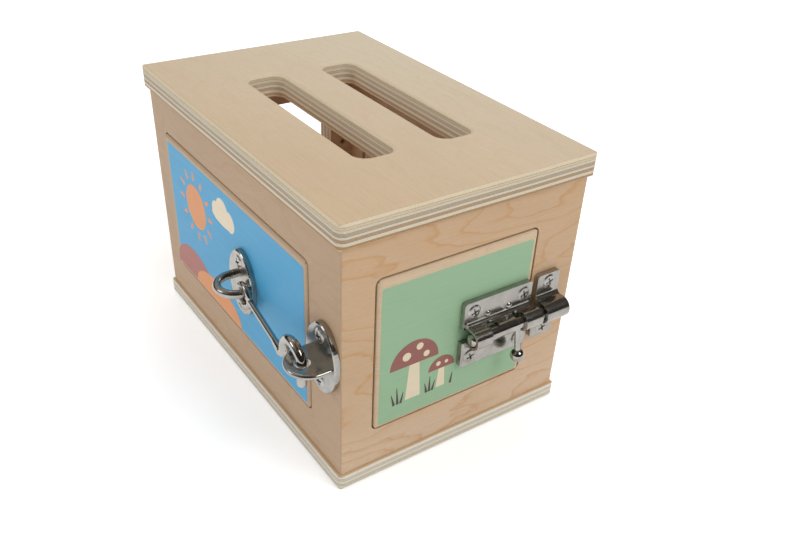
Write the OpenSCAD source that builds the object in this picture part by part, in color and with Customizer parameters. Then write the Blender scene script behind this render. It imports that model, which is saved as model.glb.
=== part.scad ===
// Wooden lock box: a glued plywood box with a slotted lid and a pivoting door in each wall,
// every door shut by a different lock.
// Millimetres, +Z up. The origin is the middle of the base's underside.
// The front is -Y and the right end is +X. The left door is drawn standing open.

/* [Box] */
// Outside length of the four-wall body, along X
body_l = 200; // [180:1:240]
// Outside width of the four-wall body, along Y
body_w = 132.5; // [126:0.5:160]
// Height of the wall boards
body_h = 122; // [112:1:150]
// Thickness of the wall boards
wall_t = 12; // [10:0.5:15]
// Break along the upright outer corners of the walls
corner_break = 0.3; // [0.1:0.1:0.8]

/* [Lid and base] */
// Thickness of the lid board
lid_t = 12; // [10:0.5:16]
// How far the lid stands out past the walls
lid_over = 2.5; // [1:0.5:5]
// Thickness of the base board
base_t = 8.5; // [7:0.5:12]
// How far the base stands out past the walls
base_over = 2; // [1:0.5:5]
// Radius of the lid's and base's upright corners
board_corner_r = 4; // [2.6:0.2:5]
// Rounding along the lid's edges
lid_edge_r = 2.1; // [1:0.1:2.6]
// Rounding along the base's edges
base_edge_r = 2; // [1:0.1:2.6]

/* [Lid slots] */
// Length of each slot
slot_l = 112; // [80:1:130]
// Width of each slot
slot_w = 20; // [14:0.5:24]
// Width of the bar left between the two slots
slot_bar = 24; // [14:0.5:32]
// Corner radius of the slots
slot_r = 6; // [3:0.5:6.5]
// Rounding round the top of each slot
slot_edge_r = 2.2; // [0.5:0.1:2.4]
// How far the two slots sit behind the lid's middle
slot_shift = 1.8; // [0:0.1:4]

/* [Doors] */
// Wall left beside each opening on the hinge side
hinge_margin = 16.5; // [14:0.5:20]
// Wall left beside each opening on the lock side
lock_margin = 26.5; // [25:0.5:30]
// Wall left under each opening
sill_h = 19.7; // [16:0.1:24]
// Wall left above each opening
head_h = 19; // [16:0.5:24]
// Gap between a door and its opening, all round
door_gap = 0.8; // [0.7:0.1:1.4]
// Thickness of the doors
door_t = 12; // [10:0.5:14]
// How far a door's face stands out past the wall
door_proud = 1; // [0.4:0.2:2]
// Rounding of a door's front edges
door_edge_r = 2.2; // [1.4:0.1:2.3]
// Radius of a door's corners
door_corner_r = 2.8; // [2.4:0.1:4]
// Angle at which the left door stands open
left_open = 75; // [60:1:90]

/* [Door pivots] */
// Diameter of the steel pivot pins
pivot_d = 3; // [2.4:0.2:4]
// Pin axis from the door's hinge edge
pivot_inset = 7.5; // [6:0.5:9]
// Pin axis behind the wall's outer face
pivot_depth = 3.5; // [3:0.1:4.5]
// How far a pin reaches into the door
pivot_reach = 10; // [6:0.5:14]
// Radial clearance of the pins in the doors
pivot_clear = 0.05; // [0.02:0.01:0.1]

/* [Dowels] */
// Diameter of the wooden dowels in the lid and base joints
dowel_d = 6; // [5:0.5:7]
// Depth of a dowel in the wall boards
dowel_wall = 10; // [6:0.5:13]
// Depth of a dowel in the lid
dowel_lid = 8; // [5:0.5:8.5]
// Depth of a dowel in the base
dowel_base = 5; // [3:0.5:5.5]
// Dowel spacing along a long wall
dowel_pitch_l = 90; // [60:1:110]
// Dowel spacing along a short wall
dowel_pitch_w = 44; // [30:1:56]
// Clearance of dowels, screws and pressed pins in their holes
seat_clear = 0.03; // [0.02:0.01:0.1]

/* [Screws] */
// Shank diameter of the screws
screw_d = 3; // [2.4:0.1:3.4]
// Length of a screw below its plate's face
screw_l = 14.5; // [10:0.5:16]
// Diameter of a screw's raised countersunk head
screw_head_d = 7.4; // [6:0.2:7.8]
// Depth of the countersink
screw_sink = 1.2; // [0.8:0.1:1.3]
// Height of the head above the plate
screw_dome = 0.8; // [0.4:0.1:1.2]
// Length of the cross recess in the head
recess_l = 4.2; // [3:0.2:5]
// Width of the cross recess
recess_w = 0.9; // [0.6:0.1:1.2]
// Depth of the cross recess
recess_h = 1.1; // [0.6:0.1:1.4]

/* [Locks] */
// Height of every lock's centre line above the walls' lower edge
lock_h = 58.5; // [50:0.5:66]
// Thickness of the latch's and hasp's plates
plate_t = 1.5; // [1.4:0.1:2]
// Corner radius of the rectangular lock plates
plate_r = 1.5; // [1:0.1:2.5]

/* [Cabin hook] */
// Distance between the middles of the hook's rose and its keep
hook_span = 77.1; // [70:0.1:86]
// Width of the oval rose and keep plates
rose_w = 25; // [24.4:0.1:26]
// Height of the oval rose and keep plates
rose_h = 36.4; // [34:0.2:40]
// Thickness of the oval plates
rose_t = 3; // [2.4:0.1:3.4]
// Bevel round the oval plates
rose_bevel = 0.6; // [0.3:0.1:0.9]
// Screw spacing on the oval plates
rose_pitch = 24.5; // [23:0.5:26]
// Wall left between the keep's plate and the wall's end
keep_edge = 0.2; // [0.2:0.1:0.6]
// How far the keep sits above the rose
keep_rise = 3.5; // [2.5:0.1:4.5]
// Radius of the rose's bow, at the middle of its wire
bow_r = 9.4; // [9:0.1:9.6]
// Wire diameter of the bow
bow_d = 4.4; // [4:0.1:4.6]
// Length of the bow's straight legs
bow_leg = 2.2; // [1:0.1:3]
// Height of the eye's middle plane above the rose
hook_stand = 2.3; // [2.1:0.1:3]
// How far the eye hangs below the bow's middle
hook_drop = 1.4; // [0.8:0.1:1.5]
// Wire diameter of the hook's eye
eye_d = 3.2; // [2.8:0.1:3.4]
// Inside radius of the hook's eye
eye_r = 4.2; // [4.1:0.1:4.6]
// Diameter of the hook's shank
shank_d = 3; // [2.6:0.1:3.2]
// How much farther out the crook lies than the eye
crook_lift = 5.4; // [4:0.1:6]
// Diameter of the hook's thick end
crook_d = 4.8; // [4.2:0.1:5]
// Radius of the arch at the hook's end
crook_r = 7.9; // [7.4:0.1:9]
// Radius of the bend from shank to arch
crook_bend = 3; // [2.8:0.1:3.6]
// Height of the arch's middle above the shank
crook_rise = 3.8; // [3.8:0.1:6]
// How far the hook's point reaches below its shank
crook_drop = 7.6; // [6:0.2:9]
// Radius of the hole in the keep's lug
lug_hole_r = 3.8; // [3.7:0.1:4.3]
// Width of the keep's lug
lug_w = 22.8; // [20:0.2:23]
// How far the lug stands out of its plate
lug_reach = 16.7; // [15.5:0.1:18]
// Thickness of the lug
lug_t = 2.4; // [2:0.1:3]

/* [Barrel bolt] */
// Diameter of the sliding bolt
bolt_d = 7; // [6.4:0.1:7.4]
// How far the bolt's rounded end stands out of the sleeve
bolt_tail_out = 1.2; // [0:0.2:3]
// Height of the bolt's axis above the wall's face
bolt_w = 8; // [7.6:0.1:8.6]
// Height of the bolt's plate
bolt_plate_h = 36; // [35:0.5:40]
// Thickness of the flanges of the bolt's plate and keep
bolt_plate_t = 3; // [2.4:0.1:3.4]
// Distance of the screws from the plates' edges
bolt_screw_inset = 5.4; // [5:0.1:6]
// Distance of the keep's screws from its edges
keep_screw_inset = 4.5; // [4.2:0.1:5]
// Thickness of the sleeve's and the keep's arch
sleeve_t = 1.3; // [1:0.1:1.6]
// Length of the sleeve's closed left end
collar_l = 9.3; // [6:0.1:11]
// Length of the sleeve's closed right end
strap_l = 10.1; // [7:0.1:11]
// How far the sleeve's right end stands out past its plate
strap_over = 1.9; // [0.5:0.1:2.2]
// Length of each bayonet notch
notch_l = 5.4; // [4.6:0.1:6]
// Clearance between the bolt and its sleeve
sleeve_clear = 0.1; // [0.05:0.01:0.1]
// Slope of the sleeve's sides
sleeve_slope = 4; // [2:1:8]
// Radius of the bends between sleeve and flange
sheet_bend = 2.6; // [1.6:0.1:2.8]
// Radius of the dimples pressed into the plate
dimple_r = 2.2; // [1.6:0.1:2.4]
// Length of the bolt's keep
keep_l = 14; // [12:0.2:16]
// Height of the bolt's keep
keep_h = 36; // [35:0.2:40]
// Gap between the opening and the keep
keep_gap = 1.7; // [1.2:0.1:4]
// Clearance between the bolt and its keep
keep_clear = 0.4; // [0.4:0.1:0.8]
// How far the shot bolt ends inside its keep
bolt_hidden = 0.4; // [0.2:0.1:2]
// Room left between the drawn bolt and its keep
bolt_free = 1.8; // [0.6:0.1:2.4]
// Diameter of the knob's stem
stem_d = 3; // [2.6:0.1:3.2]
// Ball diameter of the knob
ball_d = 7; // [6:0.2:8]
// Distance from the bolt's axis to the middle of the ball
knob_reach = 17.8; // [16:0.2:19]
// How far the hanging knob leans out from straight down
knob_lean = 9; // [6:1:16]
// Gap between the hanging stem and the sleeve's right end
knob_side = 0.5; // [0.4:0.1:0.8]

/* [Slide latch] */
// Width of the latch's flat bar
bar_w = 12; // [10:0.5:14]
// Thickness of the latch's flat bar
bar_t = 3; // [2.5:0.1:4]
// Length of the latch plate
latch_plate_l = 44; // [40:0.5:50]
// Height of the latch plate and of its keep
latch_plate_h = 36; // [34:0.5:40]
// Length of each bridge over the bar
bridge_l = 6; // [5:0.5:8]
// Clearance round the bar
bar_clear = 0.3; // [0.2:0.1:0.5]
// Length of the keep on the wall
latch_keep_l = 14; // [12:0.5:16]
// How far the latch's bar stands out behind its plate
bar_tail = 14; // [12:0.5:20]
// Diameter of the bar's push knob
push_d = 9; // [7:0.5:11]
// Height of the bar's push knob above the bar
push_h = 8; // [6:0.5:10]

/* [Hasp] */
// Height of the hasp's leaf
leaf_h = 34; // [32:0.5:38]
// Length of the hasp's leaf
leaf_l = 24; // [20:0.5:30]
// Height of the hasp's flap
flap_h = 18; // [17:0.5:20]
// How far the flap reaches past the staple
flap_reach = 10; // [9:0.5:11]
// Height of the flap's slot
flap_slot_h = 14; // [13.4:0.2:15]
// Clearance of the staple in the flap's slot
flap_slot_clear = 0.5; // [0.4:0.1:0.8]
// Gap between the staple's plate and the flap
flap_gap = 0.4; // [0.3:0.1:0.8]
// Length of the flap's own knuckle
knuckle_l = 8; // [6:0.5:9]
// Outside diameter of the knuckles
knuckle_d = 5.4; // [5:0.1:6]
// Diameter of the hasp's hinge pin
hasp_pin_d = 2.6; // [2.2:0.1:3]
// Side clearance between moving hasp pieces
hasp_clear = 0.3; // [0.2:0.1:0.5]
// Width of the turning staple
staple_w = 12; // [10:0.5:12.6]
// Thickness of the turning staple
staple_t = 3; // [2.6:0.1:3.6]
// Height of the staple's eye above its neck
staple_h = 8.2; // [7:0.2:9]
// Hole through the staple's eye
staple_hole_d = 4; // [3:0.5:4]
// Diameter of the staple's round neck
neck_d = 4.6; // [4:0.1:4.8]
// Length of the staple's stud behind its plate
stud_l = 8; // [5:0.5:9]
// Width of the staple's plate
staple_plate_w = 18; // [16:0.5:20]

/* [Hidden] */
$fn = 48;
// How far a cut runs past the face that it opens
over = 1;

// Colours
birch = "#cdb594";
beech = "#c3a586";
ply_edge = "#c9bfac";
nickel = "#b9b8b6";
blue_print = "#62a3c9";
green_print = "#94b294";
yellow_print = "#d9b568";
red_print = "#b9705f";

// Heights of the openings and of the locks, above the floor
wall_top = base_t + body_h;
open_v0 = base_t + sill_h;
open_v1 = wall_top - head_h;
lock_v = base_t + lock_h;
pin_w = -pivot_depth;
// Faces of the door and of the plates on it, out from the wall's face
door_face = door_proud;
door_plate_face = door_proud + plate_t;
rose_face = door_proud + rose_t;
bolt_face = door_proud + bolt_plate_t;

// Places along a wall of length l, counted from its middle towards its lock side
function open_u0(l) = hinge_margin - l / 2;
function open_u1(l) = l / 2 - lock_margin;
function pin_u(l) = open_u0(l) + door_gap + pivot_inset;
function door_u1(l) = open_u1(l) - door_gap;
function keep_mid(l) = l / 2 - lock_margin / 2;
function pair(u, pitch, v = lock_v) = [for (s = [-1, 1]) [u, v + s * pitch / 2]];
function corners(u0, u1, pitch) = concat(pair(u0, pitch), pair(u1, pitch));

// Screw places on each plate
screw_r = screw_d / 2;
head_r = screw_head_d / 2;
latch_pitch = latch_plate_h - 2 * bolt_screw_inset;
hook_keep_u = body_l / 2 - keep_edge - rose_w / 2;
hook_keep_v = lock_v + keep_rise;
rose_u = hook_keep_u - hook_span;
rose_spots = pair(rose_u, rose_pitch);
hook_keep_spots = pair(hook_keep_u, rose_pitch, hook_keep_v);

// Barrel bolt: places along the right wall
bolt_r = bolt_d / 2;
keep_u0 = open_u1(body_w) + keep_gap;
keep_u1 = keep_u0 + keep_l;
bolt_travel = keep_l - bolt_hidden + bolt_free;
bolt_plate_rim = 1;
strap_u1 = door_u1(body_w) - 0.15;
bolt_plate_u1 = strap_u1 - strap_over;
strap_u0 = strap_u1 - strap_l;
knob_u = strap_u0 - knob_side - stem_d / 2;
collar_u1 = strap_u0 - bolt_travel - notch_l;
collar_u0 = collar_u1 - collar_l;
bolt_plate_u0 = collar_u0 - 2 * bolt_plate_rim;
bolt_tail_u = collar_u0 - bolt_tail_out;
bolt_tip_u = keep_u1 - bolt_hidden;
bolt_spots = corners(bolt_plate_u0 + bolt_screw_inset, bolt_plate_u1 - bolt_screw_inset,
                     bolt_plate_h - 2 * bolt_screw_inset);
bolt_keep_spots = pair((keep_u0 + keep_u1) / 2, keep_h - 2 * keep_screw_inset);
sleeve_r = bolt_r + sleeve_clear;
keep_r = bolt_r + keep_clear;
// Journal in the bolt on which the knob's ring turns
journal_l = stem_d + 0.5;
journal_r = bolt_r - 1;
journal_clear = 0.05;
ring_l = journal_l - 0.2;
ring_r = bolt_r - 0.25;

// Slide latch: places along the left wall
latch_plate_u1 = door_u1(body_w) - plate_t / 6;
latch_plate_u0 = latch_plate_u1 - latch_plate_l;
latch_keep_u0 = open_u1(body_w) + keep_gap;
latch_keep_u1 = latch_keep_u0 + latch_keep_l;
bar_low = door_plate_face + bar_clear;
bar_high = bar_low + bar_t;
latch_throw = latch_keep_u1 - latch_plate_u1 - over;
push_u = latch_plate_u0 + bridge_l + over + push_d / 2;
latch_spots = corners(latch_plate_u0 + bolt_screw_inset, latch_plate_u1 - bolt_screw_inset, latch_pitch);
latch_keep_spots = pair((latch_keep_u0 + latch_keep_u1) / 2, latch_pitch);

// Hasp: places along the back wall
staple_u = keep_mid(body_l);
flap_low = plate_t + flap_gap;
flap_u1 = staple_u + flap_reach;
knuckle_r = knuckle_d / 2;
hasp_axis_u = door_u1(body_l) - knuckle_r;
hasp_axis_w = door_face + hasp_clear + knuckle_r;
leaf_u1 = hasp_axis_u - knuckle_r - hasp_clear;
leaf_u0 = leaf_u1 - leaf_l;
leaf_spots = pair((leaf_u0 + leaf_u1) / 2, leaf_h - 2 * bolt_screw_inset);
staple_plate_h = flap_h + 2 * (screw_head_d + 2 * over);
staple_spots = pair(staple_u, flap_h + screw_head_d + 2 * over);
neck_top = flap_low + plate_t + flap_gap;
// The slot is longer on its far side, because the swinging flap draws back along the staple
staple_arm = staple_u - hasp_axis_u;
staple_rise = neck_top + staple_h - hasp_axis_w;
slot_near = neck_d / 2 + flap_slot_clear;
slot_far = sqrt(pow(staple_arm + staple_t / 2, 2) + pow(staple_rise, 2)) - staple_arm + flap_slot_clear;

// Joint line of the dowels: the middle of each wall board
dowel_spots = concat(
  [for (x = [-1, 1], y = [-1, 1]) [x * dowel_pitch_l / 2, y * (body_w - wall_t) / 2]],
  [for (x = [-1, 1], y = [-1, 1]) [x * (body_l - wall_t) / 2, y * dowel_pitch_w / 2]]
);

// Each wall has its own drawing plane: x runs along the wall towards the lock side,
// y runs up from the floor and z runs out of the wall's face.
module on_front() { translate([0, -body_w / 2, 0]) rotate([90, 0, 0]) children(); }
module on_right() { translate([body_l / 2, 0, 0]) rotate([90, 0, 90]) children(); }
module on_back() { translate([0, body_w / 2, 0]) rotate([90, 0, 180]) children(); }
module on_left() { translate([-body_l / 2, 0, 0]) mirror([1, 0, 0]) rotate([90, 0, 90]) children(); }

// Turns what is on the left door to where the door stands open
module on_left_door() {
  on_left()
    translate([pin_u(body_w), 0, pin_w])
      rotate([0, -left_open, 0])
        translate([-pin_u(body_w), 0, -pin_w])
          children();
}

// Rectangle with round corners, centred
module round_rect(l, w, r) {
  square([l - 2 * r, w], center = true);
  square([l, w - 2 * r], center = true);
  for (x = [-1, 1], y = [-1, 1])
    translate([x * (l / 2 - r), y * (w / 2 - r)]) circle(r);
}

// What a rounding tool takes off one corner, with the arc's centre at the origin
module corner_waste(x, y, r) {
  difference() {
    translate([min(0, x * (r + over)), min(0, y * (r + over))]) square(r + over);
    circle(r);
  }
}

// Edge-on outline of a board, its lower and upper edges rounded by their own radii
module board_section(l, t, r_low, r_high) {
  difference() {
    translate([-l / 2, 0]) square([l, t]);
    for (x = [-1, 1]) {
      translate([x * (l / 2 - r_high), t - r_high]) corner_waste(x, 1, r_high);
      if (r_low > 0) translate([x * (l / 2 - r_low), r_low]) corner_waste(x, -1, r_low);
    }
  }
}

// Board lying flat, with round corners and rounded edges
module board(l, w, t, r, r_low, r_high) {
  intersection() {
    linear_extrude(t) round_rect(l, w, r);
    translate([0, w / 2 + over, 0]) rotate([90, 0, 0])
      linear_extrude(w + 2 * over) board_section(l, t, r_low, r_high);
    translate([-l / 2 - over, 0, 0]) rotate([90, 0, 90])
      linear_extrude(l + 2 * over) board_section(w, t, r_low, r_high);
  }
}

// Upright hole or pin in a wall's drawing plane
module upright(u, v, w, r, h) {
  translate([u, v, w]) rotate([-90, 0, 0]) cylinder(r = r, h = h);
}

// Round bar along a wall's drawing plane
module along(u, v, w) {
  translate([u, v, w]) rotate([0, 90, 0]) children();
}

// Extrudes an upright section along the wall from u0 to u1
module swept(u0, u1) {
  translate([u0, lock_v, 0]) rotate([90, 0, 90]) linear_extrude(u1 - u0) children();
}

// Raised countersunk wood screw, its plate's face at z = 0
module screw() {
  difference() {
    rotate_extrude()
      polygon([[0, -screw_l], [screw_r, -screw_l + screw_d], [screw_r, -screw_sink], [head_r, 0],
               [head_r * 0.8, screw_dome * 0.6], [head_r * 0.45, screw_dome], [0, screw_dome]]);
    for (turn = [20, 110])
      rotate(turn)
        translate([-recess_l / 2, -recess_w / 2, screw_dome - recess_h])
          cube([recess_l, recess_w, recess_h + over]);
  }
}

module screws(spots, face) {
  for (p = spots) translate([p[0], p[1], face]) screw();
}

// Countersunk holes through a plate whose upper face is at height face
module plate_holes(spots, face, t) {
  for (p = spots) translate([p[0], p[1], face]) {
    translate([0, 0, -t - over]) cylinder(r = screw_r + seat_clear, h = t + 2 * over);
    translate([0, 0, -screw_sink])
      cylinder(r1 = screw_r + seat_clear, r2 = head_r + seat_clear, h = screw_sink);
    cylinder(r = head_r + seat_clear, h = over);
  }
}

// Pilot holes right through a board
module pilot_holes(spots, low, high) {
  for (p = spots)
    translate([p[0], p[1], low - over]) cylinder(r = screw_r + seat_clear, h = high - low + 2 * over);
}

// Pivot holes above and below the opening, in a wall of length l
module wall_pivot_holes(l) {
  upright(pin_u(l), base_t - over, pin_w, pivot_d / 2 + seat_clear, sill_h + 2 * over);
  upright(pin_u(l), open_v1 - over, pin_w, pivot_d / 2 + seat_clear, head_h + 2 * over);
}

// Wall board with mitred ends and a door opening
module wall_board(l, spots) {
  difference() {
    translate([0, base_t, 0]) rotate([-90, 0, 0])
      linear_extrude(body_h)
        polygon([[2 * corner_break - l / 2, 0], [l / 2 - 2 * corner_break, 0],
                 [l / 2 - corner_break, corner_break], [l / 2 - wall_t, wall_t],
                 [wall_t - l / 2, wall_t], [corner_break - l / 2, corner_break]]);
    translate([(open_u0(l) + open_u1(l)) / 2, (open_v0 + open_v1) / 2, -wall_t - over])
      linear_extrude(wall_t + 2 * over)
        round_rect(open_u1(l) - open_u0(l), open_v1 - open_v0, door_corner_r + door_gap);
    wall_pivot_holes(l);
    pilot_holes(spots, -wall_t, 0);
  }
}

// Door panel for a wall of length l
module door_panel(l, spots) {
  door_l = open_u1(l) - open_u0(l) - 2 * door_gap;
  door_h = open_v1 - open_v0 - 2 * door_gap;
  bore_l = pivot_reach + over;
  difference() {
    translate([(open_u0(l) + open_u1(l)) / 2, (open_v0 + open_v1) / 2, door_proud - door_t])
      board(door_l, door_h, door_t, door_corner_r, 0, door_edge_r);
    upright(pin_u(l), open_v0 + door_gap - over, pin_w, pivot_d / 2 + pivot_clear, bore_l + over);
    upright(pin_u(l), open_v1 - door_gap - bore_l, pin_w, pivot_d / 2 + pivot_clear, bore_l + over);
    pilot_holes(spots, door_proud - door_t, door_proud);
  }
}

// The lower and the upper pivot pin of a door in a wall of length l
module pivot_pins(l) {
  upright(pin_u(l), base_t, pin_w, pivot_d / 2, sill_h + door_gap + pivot_reach);
  upright(pin_u(l), open_v1 - door_gap - pivot_reach, pin_w, pivot_d / 2,
          head_h + door_gap + pivot_reach);
}

// Box

module dowel_holes() {
  for (p = dowel_spots) {
    translate([p[0], p[1], base_t - dowel_base])
      cylinder(d = dowel_d + 2 * seat_clear, h = dowel_base + dowel_wall);
    translate([p[0], p[1], wall_top - dowel_wall])
      cylinder(d = dowel_d + 2 * seat_clear, h = dowel_wall + dowel_lid);
  }
}

module base() {
  color(ply_edge) difference() {
    board(body_l + 2 * base_over, body_w + 2 * base_over, base_t, board_corner_r, base_edge_r, base_edge_r);
    dowel_holes();
  }
}

// Cut for one lid slot: straight walls and a rounded top edge
module slot_cut() {
  end_l = slot_l / 2 - slot_r;
  end_w = slot_w / 2 - slot_r;
  translate([0, 0, -over]) linear_extrude(lid_t + 2 * over) round_rect(slot_l, slot_w, slot_r);
  translate([0, 0, lid_t - slot_edge_r]) {
    for (i = [0 : 3])
      translate([(i == 0 || i == 3 ? 1 : -1) * end_l, (i < 2 ? 1 : -1) * end_w, 0])
        rotate(90 * i) rotate_extrude(angle = 90)
          translate([slot_r + slot_edge_r, 0]) corner_waste(-1, 1, slot_edge_r);
    translate([-end_l, 0, 0]) rotate([90, 0, 90]) linear_extrude(2 * end_l) slot_waste(slot_w);
    translate([0, end_w, 0]) rotate([90, 0, 0]) linear_extrude(2 * end_w) slot_waste(slot_l);
  }
}

// Section of the rounding along two facing sides of a slot that is w wide
module slot_waste(w) {
  for (side = [-1, 1])
    translate([side * (w / 2 + slot_edge_r), 0]) corner_waste(-side, 1, slot_edge_r);
}

module lid() {
  color(birch) difference() {
    translate([0, 0, wall_top])
      board(body_l + 2 * lid_over, body_w + 2 * lid_over, lid_t, board_corner_r, lid_edge_r, lid_edge_r);
    for (y = [-1, 1])
      translate([0, slot_shift + y * (slot_bar + slot_w) / 2, wall_top]) slot_cut();
    dowel_holes();
  }
}

module front_wall() {
  color(beech) difference() {
    on_front() wall_board(body_l, hook_keep_spots);
    dowel_holes();
  }
}

module right_wall() {
  color(beech) difference() {
    on_right() wall_board(body_w, bolt_keep_spots);
    dowel_holes();
  }
}

module back_wall() {
  color(beech) difference() {
    on_back() wall_board(body_l, staple_spots);
    dowel_holes();
    on_back() translate([staple_u, lock_v, -stud_l - over])
      cylinder(d = neck_d + 2 * pivot_clear, h = stud_l + 2 * over);
  }
}

module left_wall() {
  color(beech) difference() {
    on_left() wall_board(body_w, latch_keep_spots);
    dowel_holes();
  }
}

module lid_dowels() {
  color(beech) for (p = dowel_spots)
    translate([p[0], p[1], wall_top - dowel_wall + seat_clear])
      cylinder(d = dowel_d, h = dowel_wall + dowel_lid - 2 * seat_clear);
}

module base_dowels() {
  color(beech) for (p = dowel_spots)
    translate([p[0], p[1], base_t - dowel_base + seat_clear])
      cylinder(d = dowel_d, h = dowel_base + dowel_wall - 2 * seat_clear);
}

module front_pivot_pins() { color(nickel) on_front() pivot_pins(body_l); }
module right_pivot_pins() { color(nickel) on_right() pivot_pins(body_w); }
module back_pivot_pins() { color(nickel) on_back() pivot_pins(body_l); }
module left_pivot_pins() { color(nickel) on_left() pivot_pins(body_w); }

// Front door and its cabin hook

// Oval plate with a bevelled rim, its back at z = 0
module oval_plate() {
  steps = 64;
  outline = [for (i = [0 : steps - 1])
    [rose_w / 2 * cos(360 * i / steps), rose_h / 2 * sin(360 * i / steps)]];
  linear_extrude(rose_t - rose_bevel) polygon(outline);
  translate([0, 0, rose_t - rose_bevel])
    linear_extrude(rose_bevel, scale = 1 - 2 * rose_bevel / rose_h) polygon(outline);
}

// The bow is a half ring on two short legs, lying level
bow_w = rose_face + bow_leg;
hook_w = rose_face + hook_stand;
hook_v = lock_v - hook_drop;
function bow_at(w) = w < bow_w ? bow_r : sqrt(bow_r * bow_r - (w - bow_w) * (w - bow_w));
// The hook's eye hangs round the bow where the bow crosses the eye's plane
eye_u = rose_u + (bow_at(hook_w - eye_d / 2) + bow_at(hook_w + eye_d / 2)) / 2;
// The point stands off the hole's middle, because lifting the hook swings it outwards
point_u = hook_keep_u - (lug_hole_r - crook_d / 2) / 3;
arch_u = point_u - crook_r;

module front_door() { color(blue_print) on_front() door_panel(body_l, rose_spots); }

module hook_rose() {
  color(nickel) on_front() {
    difference() {
      translate([rose_u, lock_v, door_face]) oval_plate();
      plate_holes(rose_spots, rose_face, rose_t);
    }
    translate([rose_u, lock_v, bow_w]) rotate([90, 0, 0])
      rotate_extrude(angle = 180) translate([bow_r, 0]) circle(d = bow_d);
    for (side = [-1, 1])
      translate([rose_u + side * bow_r, lock_v, rose_face - rose_bevel])
        cylinder(d = bow_d, h = bow_leg + rose_bevel);
  }
}

module hook_rose_screws() { color(nickel) on_front() screws(rose_spots, rose_face); }

// The eye lies near the rose, and the shank leans out from there to the crook
module hook() {
  land = 0.15;
  eye_mid = eye_r + eye_d / 2 - land;
  bend_u = arch_u - crook_r - crook_bend;
  run = bend_u - eye_u - eye_mid;
  shank_l = sqrt(run * run + crook_lift * crook_lift);
  cone_l = 2 * crook_d;
  tip_v = crook_d / 2 - crook_drop;
  color(nickel) on_front() translate([0, hook_v, hook_w]) {
    translate([eye_u, 0, 0]) rotate_extrude() difference() {
      translate([eye_mid, 0]) circle(d = eye_d);
      translate([eye_r - over, -eye_d]) square([over, 2 * eye_d]);
    }
    translate([eye_u + eye_mid, 0, 0]) rotate([0, atan2(run, crook_lift), 0]) {
      cylinder(d = shank_d, h = shank_l - cone_l);
      translate([0, 0, shank_l - cone_l]) cylinder(d1 = shank_d, d2 = crook_d, h = cone_l);
      translate([0, 0, shank_l]) sphere(d = crook_d + land);
    }
    translate([0, 0, crook_lift]) {
      translate([bend_u, crook_bend, 0]) rotate(-90)
        rotate_extrude(angle = 90) translate([crook_bend, 0]) circle(d = crook_d);
      upright(arch_u - crook_r, crook_bend, 0, crook_d / 2, crook_rise - crook_bend);
      translate([arch_u, crook_rise, 0])
        rotate_extrude(angle = 180) translate([crook_r, 0]) circle(d = crook_d);
      upright(point_u, tip_v, 0, crook_d / 2, crook_rise - tip_v);
      translate([point_u, tip_v, 0]) sphere(d = crook_d);
    }
  }
}

// Half-round lug, its middle plane level, with a rounded rim
module keep_lug() {
  lug_r = lug_w / 2;
  rim_r = lug_t / 2;
  neck_l = rose_t + lug_reach - lug_r;
  difference() {
    translate([hook_keep_u, hook_keep_v, 0]) rotate([-90, 0, 0]) {
      translate([0, -neck_l, 0]) rotate(180) rotate_extrude(angle = 180) {
        translate([0, -rim_r]) square([lug_r - rim_r, lug_t]);
        translate([lug_r - rim_r, 0]) circle(rim_r);
      }
      translate([0, -rose_bevel / 2, 0]) rotate([90, 0, 0]) linear_extrude(neck_l - rose_bevel / 2) {
        square([lug_w - lug_t, lug_t], center = true);
        for (x = [-1, 1]) translate([x * (lug_r - rim_r), 0]) circle(rim_r);
      }
    }
    upright(hook_keep_u, hook_keep_v - lug_t, hook_w + crook_lift, lug_hole_r, 2 * lug_t);
  }
}

module hook_keep() {
  color(nickel) on_front() {
    difference() {
      translate([hook_keep_u, hook_keep_v, 0]) oval_plate();
      plate_holes(hook_keep_spots, rose_t, rose_t);
    }
    keep_lug();
  }
}

module hook_keep_screws() { color(nickel) on_front() screws(hook_keep_spots, rose_t); }

// Right door and its barrel bolt

// Bends at the feet of a sleeve of clear radius r, on a flange whose face is at height high
module bend_feet(r, high, slope) {
  r_out = r + sleeve_t;
  foot = r_out * cos(slope) + (r_out * sin(slope) + bolt_w - high) * tan(slope);
  bend = sheet_bend * (1 - sin(slope)) / cos(slope);
  sunk = sleeve_t / 2;
  for (side = [0, 1]) mirror([side, 0]) difference() {
    polygon([[foot - bend / 4, high - sunk], [foot + bend, high - sunk],
             [foot + bend, high + sheet_bend],
             [foot - bend * sin(slope) - sunk, high + bend * cos(slope)]]);
    translate([foot + bend, high + sheet_bend]) circle(sheet_bend);
  }
}

// Round top on two sloping sides that run down to height low
module arch_shape(r, axis, low, slope) {
  x = r * cos(slope);
  y = axis + r * sin(slope);
  foot = x + (y - low) * tan(slope);
  translate([0, axis]) circle(r);
  polygon([[-foot, low], [foot, low], [x, y], [-x, y]]);
}

// Fan-shaped cut from the bolt's axis, between two angles counted from straight out to straight down
module fan(from, to) {
  far = bolt_plate_h;
  translate([0, bolt_w])
    polygon(concat([[0, 0]],
      [for (i = [0 : 4]) let (a = from + (to - from) * i / 4) far * [-sin(a), cos(a)]]));
}

module right_door() { color(green_print) on_right() door_panel(body_w, bolt_spots); }

// Bayonet notch: a round-ended slot down through the top of the sleeve
module notch_cut(u) {
  translate([u + notch_l / 2, lock_v, 0]) rotate([-90, 0, 0]) linear_extrude(bolt_d) {
    translate([0, -bolt_w]) circle(notch_l / 2);
    translate([-notch_l / 2, -bolt_w - bolt_d]) square([notch_l, bolt_d]);
  }
}

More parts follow.
